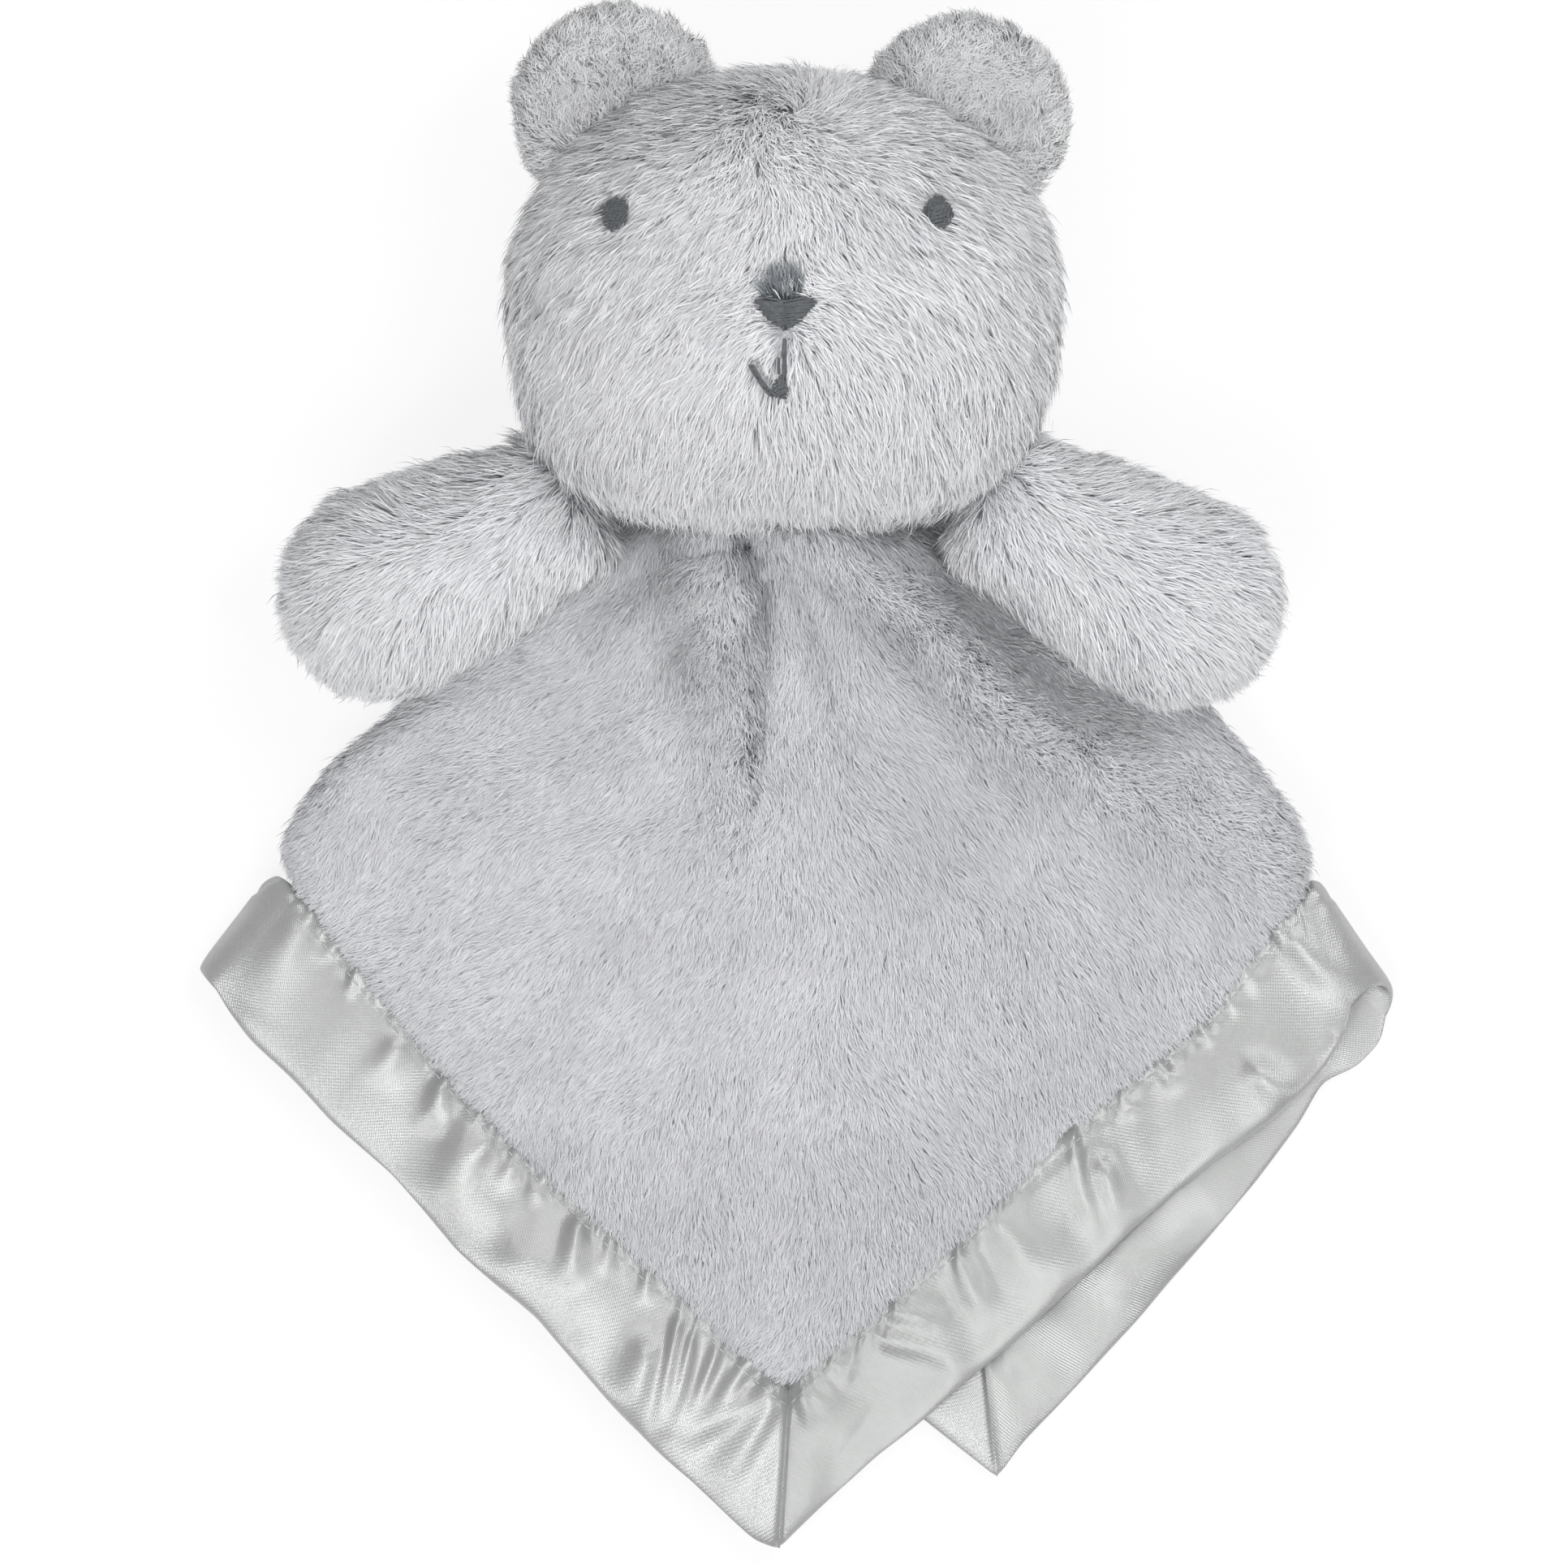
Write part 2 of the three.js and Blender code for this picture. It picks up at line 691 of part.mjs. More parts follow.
function wingPlan(side) {
  const foldAngle = radians(side < 0 ? leftFoldAngle : rightFoldAngle);
  const fold = new THREE.Vector2(side * Math.sin(foldAngle), -Math.cos(foldAngle));
  const length = (side < 0 ? leftBindingLength : rightBindingLength) + bindingWidth;
  const tip = new THREE.Vector2(0, -halfDiagonal);
  const frontSide = sideFrame(side).along;
  const end = tip.clone().addScaledVector(frontSide, length);
  const mirrored = (point) => {
    const from = point.clone().sub(end);
    return end.clone().addScaledVector(fold, 2 * from.dot(fold)).sub(from);
  };
  const corner = mirrored(tip.clone().addScaledVector(frontSide, blanketSide));
  const along = corner.clone().sub(end).normalize();
  const inward = new THREE.Vector2(side * along.y, -side * along.x);
  const across = new THREE.Vector2(side * fold.y, -side * fold.x);
  const span = (Math.abs(corner.x) - middleGap / 2) / Math.abs(inward.x);
  return { end, mirrored, corner, along, inward, across, span };
}

// The root of a wing follows the front's edge, mirrored across the fold, so that it clears that
// edge when the wing is opened out
function wingCloth(side, floor, thickness) {
  const { end, mirrored, corner, along, inward, across, span } = wingPlan(side);
  const seam = bindingWidth + gap;
  const table = side < 0 ? leftEdgeShares : rightEdgeShares;
  const roots = table.map(([degrees]) => {
    const bearing = side * radians(degrees);
    const radius = frontRadius(bearing);
    const edge = new THREE.Vector2(radius * Math.sin(bearing), -radius * Math.cos(bearing));
    const root = mirrored(edge).addScaledVector(across, foldClearance);
    const rise = root.clone().sub(end).dot(inward);
    return root.addScaledVector(inward, Math.max(0, seam - rise));
  });
  const inner = corner.clone().addScaledVector(inward, seam).addScaledVector(along, -seam);
  const last = corner.clone().addScaledVector(inward, span).addScaledVector(along, -seam);
  const top = new THREE.Vector2(side * middleGap / 2, -wingTop);
  return clothPlate([inner, last, top, ...roots.reverse()], floor, thickness);
}

// Binding strips lie flat on hidden corners: four corners, mitred where two strips meet
function flatBinding(corners, floor) {
  return clothPlate(corners, floor, rearLayers);
}

function wingBindings(side) {
  const { end, corner, along, inward, span } = wingPlan(side);
  const at = (base, run, rise) => {
    return base.clone().addScaledVector(along, run).addScaledVector(inward, rise);
  };
  const near = [
    at(end, foldClearance, 0), at(corner, -gap / 2, 0),
    at(corner, -bindingWidth - gap / 2, bindingWidth), at(end, foldClearance, bindingWidth),
  ];
  const far = [
    at(corner, 0, gap / 2), at(corner, 0, span), at(corner, -bindingWidth, span),
    at(corner, -bindingWidth, bindingWidth + gap / 2),
  ];
  return [flatBinding(near, 0), flatBinding(far, 0)];
}

// Back corner: it hangs straight down behind the front, a little shorter
const rearDistance = halfDiagonal - rearShortfall;

function backCloth(floor, thickness) {
  const seam = rearDistance - (bindingWidth + gap) * Math.SQRT2;
  const run = rearSideLength * Math.SQRT1_2;
  return clothPlate([
    new THREE.Vector2(0, -seam), new THREE.Vector2(run, run - seam),
    new THREE.Vector2(rearTopHalfWidth, -rearTop), new THREE.Vector2(-rearTopHalfWidth, -rearTop),
    new THREE.Vector2(-run, run - seam),
  ], floor, thickness);
}

function backBinding(side) {
  const along = new THREE.Vector2(side, 1).multiplyScalar(Math.SQRT1_2);
  const outward = new THREE.Vector2(side, -1).multiplyScalar(Math.SQRT1_2);
  const tip = new THREE.Vector2(side * gap / 2, -rearDistance);
  const inner = new THREE.Vector2(side * gap / 2, bindingWidth * Math.SQRT2 - rearDistance);
  return flatBinding([
    tip, tip.clone().addScaledVector(along, rearSideLength + bindingWidth),
    inner.clone().addScaledVector(along, rearSideLength), inner,
  ], backFloor);
}

// The toy
const toy = new THREE.Group();

const blanket = new THREE.Group();
blanket.add(named("blanket_front_plush", frontPlush(), colours.plush));
blanket.add(named("blanket_front_backing", frontBacking(), colours.backing));
blanket.add(named("blanket_back_plush", backCloth(backFloor, rearPlushThickness), colours.plush));
blanket.add(named(
  "blanket_back_backing",
  backCloth(backFloor + rearPlushThickness + layerGap, backingThickness), colours.backing,
));
blanket.add(named("neck_gather", neckSocketForm(), colours.plush));
toy.add(blanket);

for (const [side, word] of [[-1, "left"], [1, "right"]]) {
  blanket.add(named(`satin_front_${word}`, frontBinding(side), colours.satin));
  blanket.add(named(`satin_back_${word}`, backBinding(side), colours.satin));

  const wing = new THREE.Group();
  const wingBackingFloor = rearPlushThickness + layerGap;
  const [near, far] = wingBindings(side);
  wing.add(named(`wing_${word}_plush`, wingCloth(side, 0, rearPlushThickness), colours.plush));
  wing.add(named(
    `wing_${word}_backing`, wingCloth(side, wingBackingFloor, backingThickness), colours.backing,
  ));
  wing.add(named(`wing_${word}_satin_front`, near, colours.satin));
  wing.add(named(`wing_${word}_satin_back`, far, colours.satin));
  toy.add(wing);

  const arm = new THREE.Group();
  arm.add(named(`arm_${word}_upper`, armShell(side, 1), colours.plush));
  arm.add(named(`arm_${word}_under`, armShell(side, -1), colours.plush));
  arm.add(named(`arm_${word}_stuffing`, armFilling(side), colours.stuffing));
  toy.add(arm);

  const ear = new THREE.Group();
  ear.add(named(`ear_${word}_front`, earDisc(side, 1), colours.plush));
  ear.add(named(`ear_${word}_back`, earDisc(side, -1), colours.plush));
  toy.add(ear);
}

const neck = new THREE.Group();
neck.add(named("neck_stem", neckStemForm(), colours.plush));
neck.add(named("neck_tie", neckTieForm(), colours.thread));
toy.add(neck);

const head = new THREE.Group();
head.add(named("head_front", headShell(1), colours.plush));
head.add(named("head_back", cutAway(headShell(-1), neckHole()), colours.plush));
head.add(named("head_stuffing", cutAway(headFilling(), neckHole()), colours.stuffing));
head.add(named("eye_left", eye(-1), colours.embroidery));
head.add(named("eye_right", eye(1), colours.embroidery));
head.add(named("nose", nose(), colours.embroidery));
head.add(named("mouth", mouth(), colours.embroidery));
toy.add(head);

// The origin is the middle of the footprint, at the level that the toy lies on
const box = new THREE.Box3().setFromObject(toy);
const middleOfBox = box.getCenter(new THREE.Vector3());
toy.position.set(-middleOfBox.x, -middleOfBox.y, -box.min.z);

export default toy;
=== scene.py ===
# A comfort blanket lovey on its back: a plush bear head and two stuffed arms on a square plush
# blanket, bound with satin, whose side corners are folded underneath.
# Sizes are in millimetres from the neck seam, in the middle of the head's lower edge: x to the
# right of the picture, y towards the top of the head and z up from the floor.
import math

import bmesh
import bpy
import numpy as np
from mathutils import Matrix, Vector, kdtree


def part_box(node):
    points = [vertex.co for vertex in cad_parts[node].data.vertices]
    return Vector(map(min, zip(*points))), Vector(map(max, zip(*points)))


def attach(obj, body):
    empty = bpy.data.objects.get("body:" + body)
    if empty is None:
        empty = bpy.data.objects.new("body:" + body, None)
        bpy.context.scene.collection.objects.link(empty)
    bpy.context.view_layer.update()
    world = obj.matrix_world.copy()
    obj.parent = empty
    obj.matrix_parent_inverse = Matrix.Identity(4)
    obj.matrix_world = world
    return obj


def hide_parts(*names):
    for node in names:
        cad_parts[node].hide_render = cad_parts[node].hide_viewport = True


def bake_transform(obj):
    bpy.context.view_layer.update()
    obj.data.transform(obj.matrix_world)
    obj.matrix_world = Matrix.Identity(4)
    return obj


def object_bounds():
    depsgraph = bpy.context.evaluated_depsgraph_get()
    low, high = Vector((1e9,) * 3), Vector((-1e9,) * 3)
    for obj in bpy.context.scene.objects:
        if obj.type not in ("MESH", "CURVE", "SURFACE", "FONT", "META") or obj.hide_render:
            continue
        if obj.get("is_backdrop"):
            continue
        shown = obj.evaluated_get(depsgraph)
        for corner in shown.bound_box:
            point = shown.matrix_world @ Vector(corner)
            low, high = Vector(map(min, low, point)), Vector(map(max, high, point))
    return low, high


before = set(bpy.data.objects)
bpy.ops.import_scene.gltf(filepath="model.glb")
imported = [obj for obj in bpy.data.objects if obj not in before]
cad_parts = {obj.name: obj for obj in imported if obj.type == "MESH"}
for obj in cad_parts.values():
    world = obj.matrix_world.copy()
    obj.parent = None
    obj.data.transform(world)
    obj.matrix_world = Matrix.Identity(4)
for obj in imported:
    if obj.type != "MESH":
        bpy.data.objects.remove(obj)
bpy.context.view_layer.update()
MM = 0.001
UV_NAME = "OFBake"
PHOTO_SIDE = 1932  # pixels
LOWEST = 0.1  # how near the floor pile and satin come, in millimetres
MOST_TRIANGLES = 190000  # about how many triangles of pile one piece holds

head_low, head_high = (np.array(corner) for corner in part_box("head_front"))
neck_seam = np.array([(head_low[0] + head_high[0]) / 2, head_low[1], 0])


def in_frame(points):
    """Metres in the frame from millimetres from the neck seam."""
    return neck_seam + np.asarray(points, float) * MM


def box_of(node):
    """Lowest and highest corner of a solid, in millimetres from the neck seam."""
    return [(np.array(corner) - neck_seam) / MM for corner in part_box(node)]


PIXEL = 0.1985  # millimetres, from a 14 in square blanket
NECK_PIXEL = (965, 650)


def traced(*places):
    """Places in the photograph, in its pixels, as millimetres from the neck seam."""
    return np.array([[(x - NECK_PIXEL[0]) * PIXEL, (NECK_PIXEL[1] - y) * PIXEL]
                     for x, y in places])


def unit(vectors):
    length = np.linalg.norm(vectors, axis=-1, keepdims=True)
    return vectors / np.maximum(length, 1e-9)


def smoothstep(low, high, value):
    share = np.clip((value - low) / (high - low), 0, 1)
    return share * share * (3 - 2 * share)


def nearest(plan, line):
    """How far places are from a line, how far along it as a share, and on which side."""
    a, b = line[:-1], line[1:]
    run = b - a
    size = np.linalg.norm(run, axis=1)
    start = np.append(0, np.cumsum(size))
    best = np.full(len(plan), 1e9)
    share, side = np.zeros(len(plan)), np.zeros(len(plan))
    for k in range(len(a)):
        off = plan - a[k]
        t = np.clip((off @ run[k]) / size[k] ** 2, 0, 1)
        gap = np.linalg.norm(off - t[:, None] * run[k], axis=1)
        closer = gap < best
        best = np.where(closer, gap, best)
        share = np.where(closer, (start[k] + t * size[k]) / start[-1], share)
        turn = run[k, 0] * off[:, 1] - run[k, 1] * off[:, 0]
        side = np.where(closer, np.sign(turn), side)
    return best, share, side


def soft_noise(points, size, seed):
    """Smooth values from -1 to 1 that change over about size millimetres."""
    table = np.random.default_rng(seed).uniform(-1, 1, 4096)
    at = np.asarray(points, float) / size
    cell = np.floor(at).astype(np.int64)
    part = at - cell
    part = part * part * (3 - 2 * part)
    total = np.zeros(len(at))
    for corner in np.ndindex(*(2,) * at.shape[1]):
        hashed = (cell + corner) * (73856093, 19349663, 83492791)[: at.shape[1]]
        key = np.bitwise_xor.reduce(hashed, axis=1) & 4095
        total += table[key] * np.prod(np.where(corner, part, 1 - part), axis=1)
    return total


# ---- Finishes -----------------------------------------------------------------------------------


class Value:
    """A socket of a shader node, for sums that are written as in a formula."""

    def __init__(self, finish, socket):
        self.finish, self.socket = finish, socket

    def sum_of(operation, turned=False):
        def result(self, other):
            first, second = (other, self) if turned else (self, other)
            return self.finish.add("ShaderNodeMath", {"operation": operation},
                                   {0: first, 1: second})

        return result

    __add__, __radd__ = sum_of("ADD"), sum_of("ADD", True)
    __sub__, __rsub__ = sum_of("SUBTRACT"), sum_of("SUBTRACT", True)
    __mul__, __rmul__ = sum_of("MULTIPLY"), sum_of("MULTIPLY", True)
    __pow__ = sum_of("POWER")


class Finish:
    """A material with one Principled shader."""

    def __init__(self, name, roughness, **sockets):
        self.material = bpy.data.materials.new(name)
        self.material.use_nodes = True
        self.tree = self.material.node_tree
        self.shader = self.tree.nodes["Principled BSDF"]
        self.shader.inputs["Roughness"].default_value = roughness
        for socket, value in sockets.items():
            self.shader.inputs[socket.replace("_", " ")].default_value = value

    def add(self, kind, settings=None, inputs=None, output=0):
        """A node of that kind: its settings first, then the values or links of its sockets."""
        node = self.tree.nodes.new(kind)
        for name, value in (settings or {}).items():
            if name == "stops":
                ramp = node.color_ramp.elements
                while len(ramp) < len(value):
                    ramp.new(1)
                for stop, (place, colour) in zip(ramp, value):
                    stop.position = place
                    stop.color = (*colour, 1)
            else:
                setattr(node, name, value)
        for name, value in (inputs or {}).items():
            if isinstance(value, Value):
                self.tree.links.new(value.socket, node.inputs[name])
            else:
                node.inputs[name].default_value = value
        return Value(self, node.outputs[output])

    def mix(self, share, low, high):
        """A colour between two colours."""
        low, high = ((*c, 1) if isinstance(c, tuple) else c for c in (low, high))
        return self.add("ShaderNodeMix", {"data_type": "RGBA"}, {0: share, 6: low, 7: high}, 2)

    def noise(self, scale, detail=2.0):
        place = self.add("ShaderNodeTexCoord", output=3)
        return self.add("ShaderNodeTexNoise", None,
                        {"Vector": place, "Scale": scale, "Detail": detail})

    def wave(self, phase):
        return self.add("ShaderNodeMath", {"operation": "SINE"}, {0: phase})

    def uv(self, axis):
        place = self.add("ShaderNodeUVMap", {"uv_map": UV_NAME})
        return self.add("ShaderNodeSeparateXYZ", None, {0: place}, axis)

    def feed(self, socket, value):
        self.tree.links.new(value.socket, self.shader.inputs[socket])

    def bump(self, height, distance, strength):
        """Raises the surface by up to distance millimetres where height is 1."""
        inputs = {"Height": height, "Distance": distance * MM, "Strength": strength}
        self.feed("Normal", self.add("ShaderNodeBump", None, inputs))


def pile_finish(name, root, dark, light):
    """Pile that is dark at its roots; each strand's u is its shade and its v runs along it."""
    finish = Finish(name, 0.85, Specular_IOR_Level=0.25, Sheen_Weight=0.15)
    along = finish.uv(1)
    tip = finish.mix(finish.uv(0), dark, light)
    finish.feed("Base Color", finish.mix(along ** 0.6, root, tip))
    return finish.material


def knit_finish(name, low, high):
    """The knitted ground that pile stands on, and the backing under it."""
    finish = Finish(name, 0.95, Specular_IOR_Level=0.2)
    loops = finish.noise(900.0, 3.0)
    patches = finish.noise(45.0)
    finish.feed("Base Color", finish.mix(patches * 0.5 + loops * 0.5, low, high))
    finish.bump(loops, 0.5, 0.6)
    return finish.material


def satin_finish(name, low, high):
    """Satin with a fine slanting twill; u and v run along and across a strip in centimetres."""
    finish = Finish(name, 0.3, Specular_IOR_Level=1.0, Anisotropic=0.4, Metallic=0.5)
    along, across = finish.uv(0), finish.uv(1)
    slant = finish.wave((along + across * 0.8) * 104)
    weft = finish.wave((along - across * 1.3) * 61)
    cloud = finish.noise(60.0, 3.0)
    yarn = finish.noise(1700.0)
    finish.feed("Base Color", finish.mix(cloud * 0.5 + yarn * 0.5 + slant * 0.12, low, high))
    finish.feed("Roughness", cloud * 0.08 + yarn * 0.14 + 0.24)
    finish.bump(slant * 0.5 + weft * 0.25 + yarn * 1.2, 0.05, 0.7)
    return finish.material


def thread_finish(name, low, high, roughness=0.6):
    finish = Finish(name, roughness, Specular_IOR_Level=0.35)
    twist = finish.noise(1300.0)
    finish.feed("Base Color", finish.mix(twist, low, high))
    finish.bump(twist, 0.12, 0.6)
    return finish.material


# Each finish has the record's slot and its material: root, dark and light, or low and high
finishes = {
    "head": ("long_plush", pile_finish(
        "long_pile", (0.64, 0.65, 0.68), (0.82, 0.825, 0.845), (0.96, 0.963, 0.97))),
    "body": ("plush", pile_finish(
        "soft_pile", (0.53, 0.54, 0.57), (0.70, 0.705, 0.73), (0.86, 0.865, 0.885))),
    "ear": ("curly_plush", pile_finish(
        "curly_pile", (0.55, 0.56, 0.575), (0.76, 0.765, 0.775), (0.94, 0.942, 0.947))),
    "fuzz": ("embroidery", pile_finish(
        "nose_fuzz", (0.07, 0.08, 0.09), (0.13, 0.15, 0.17), (0.42, 0.45, 0.48))),
    "knit": ("plush", knit_finish("plush_ground", (0.62, 0.63, 0.66), (0.76, 0.77, 0.80))),
    "backing": ("backing", knit_finish(
        "knitted_backing", (0.48, 0.49, 0.51), (0.62, 0.63, 0.65))),
    "satin": ("satin", satin_finish("silver_satin", (0.32, 0.326, 0.322), (0.48, 0.487, 0.482))),
    "embroidery": ("embroidery", thread_finish(
        "charcoal_thread", (0.035, 0.04, 0.045), (0.16, 0.17, 0.18))),
    "thread": ("thread", thread_finish("grey_thread", (0.40, 0.41, 0.42), (0.62, 0.63, 0.64))),
    "filling": ("stuffing", thread_finish(
        "white_filling", (0.74, 0.74, 0.72), (0.88, 0.88, 0.86), 0.95)),
}


# ---- Making meshes ------------------------------------------------------------------------------


def smooth(mesh):
    mesh.polygons.foreach_set("use_smooth", np.ones(len(mesh.polygons), bool))


def placed(name, mesh, finish, body=None, nodes=()):
    """The mesh as a piece in its finish, on its body and in place of the solids it stands for."""
    piece = bpy.data.objects.new(name, mesh)
    bpy.context.scene.collection.objects.link(piece)
    slot, material = finishes[finish]
    mesh.materials.append(material)
    if body:
        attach(piece, body)
    if nodes:
        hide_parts(*nodes)
    return piece


def add_piece(name, points, faces, finish, uv=None, normals=None, body=None, nodes=()):
    """A piece from points in millimetres and faces that all have three or four corners."""
    mesh = bpy.data.meshes.new(name)
    faces = np.asarray(faces, np.int32)
    mesh.vertices.add(len(points))
    mesh.loops.add(faces.size)
    mesh.polygons.add(len(faces))
    mesh.vertices.foreach_set("co", in_frame(points).astype(np.float32).ravel())
    mesh.loops.foreach_set("vertex_index", faces.ravel())
    starts = np.arange(0, faces.size, faces.shape[1], dtype=np.int32)
    mesh.polygons.foreach_set("loop_start", starts)
    mesh.update(calc_edges=True)
    smooth(mesh)
    if uv is not None:
        layer = mesh.uv_layers.new(name=UV_NAME)
        layer.data.foreach_set("uv", uv[faces.ravel()].astype(np.float32).ravel())
    if normals is not None:
        mesh.normals_split_custom_set_from_vertices(normals)
    return placed(name, mesh, finish, body, nodes)


def corner_normals(points, faces):
    """Normals of a mesh at its points."""
    a, b, c = (points[faces[:, k]] for k in range(3))
    face = np.cross(b - a, c - a)
    if faces.shape[1] == 4:
        face = np.cross(c - a, points[faces[:, 3]] - b)
    total = np.zeros_like(points)
    for k in range(faces.shape[1]):
        np.add.at(total, faces[:, k], face)
    return unit(total)


def grid_faces(columns, rows, closed_columns=False, closed_rows=False):
    """Faces of a grid of points that is stored row by row."""
    across = np.arange(columns if closed_columns else columns - 1)
    down = np.arange(rows if closed_rows else rows - 1)
    c, r = np.meshgrid(across, down)
    c, r = c.ravel(), r.ravel()
    right, below = (c + 1) % columns, (r + 1) % rows
    return np.stack([r * columns + c, r * columns + right, below * columns + right,
                     below * columns + c], axis=1)


def strip_faces(columns, rows):
    """Faces of a closed strip whose upper side is rows of points, followed by its lower side."""
    sides = grid_faces(columns, 2 * rows, closed_rows=True)
    k = np.arange(rows - 1)
    ends = [np.stack([k, k + 1, 2 * rows - 2 - k, 2 * rows - 1 - k], axis=1) * columns + column
            for column in (0, columns - 1)]
    return np.concatenate([sides, ends[0], ends[1][:, ::-1]])


def rings_round(pole, angle, rim, sides):
    """Rings round a pole: sides holds heights by place with the shares of the rim they run over."""
    ray = np.stack([np.cos(angle), np.sin(angle)], axis=1)
    rows = []
    for heights, shares in sides:
        for s in shares:
            plan = pole + s * rim[:, None] * ray
            rows.append(np.column_stack([plan, heights(plan, np.full(len(angle), s))]))
    return np.concatenate(rows), grid_faces(len(angle), len(rows), closed_columns=True)[:, ::-1]


def cushion(edge, pole, crown, belly, spokes, rings):
    """Rings from the crown of a stuffed form over its rim to its belly, as points and faces.

    edge(angle) is how far the rim is from the pole, and crown and belly give heights by place."""
    angle = np.linspace(0, 2 * math.pi, spokes, endpoint=False)
    share = np.sin(np.linspace(0.02, 1, rings) * math.pi / 2)
    return rings_round(pole, angle, edge(angle), ((crown, share), (belly, share[::-1][1:])))


def far_edge(inside, pole, longest):
    """How far rays from the pole run before they leave a region of the plan."""

    def edge(angle):
        ray = np.stack([np.cos(angle), np.sin(angle)], axis=1)
        near, far = np.zeros(len(angle)), np.full(len(angle), float(longest))
        for _ in range(24):
            middle = (near + far) / 2
            held = inside(pole + ray * middle[:, None])
            near = np.where(held, middle, near)
            far = np.where(held, far, middle)
        return near

    return edge


def stuffed(name, ground, spokes, finish, body, nodes):
    """A form from the rings of a cushion, with each small end ring closed by a point."""
    points, faces = ground
    count = len(points)
    ends = np.array([points[:spokes].mean(0), points[-spokes:].mean(0)])
    ring = np.arange(spokes)
    after = (ring + 1) % spokes
    last = count - spokes
    first = np.stack([np.full(spokes, count), ring, after], axis=1)
    final = np.stack([np.full(spokes, count + 1), last + after, last + ring], axis=1)
    mesh = bpy.data.meshes.new(name)
    mesh.from_pydata([tuple(p) for p in in_frame(np.concatenate([points, ends]))], [],
                     faces.tolist() + np.concatenate([first, final]).tolist())
    smooth(mesh)
    piece = placed(name, mesh, finish, body, nodes)
    return piece


# ---- Pile ---------------------------------------------------------------------------------------


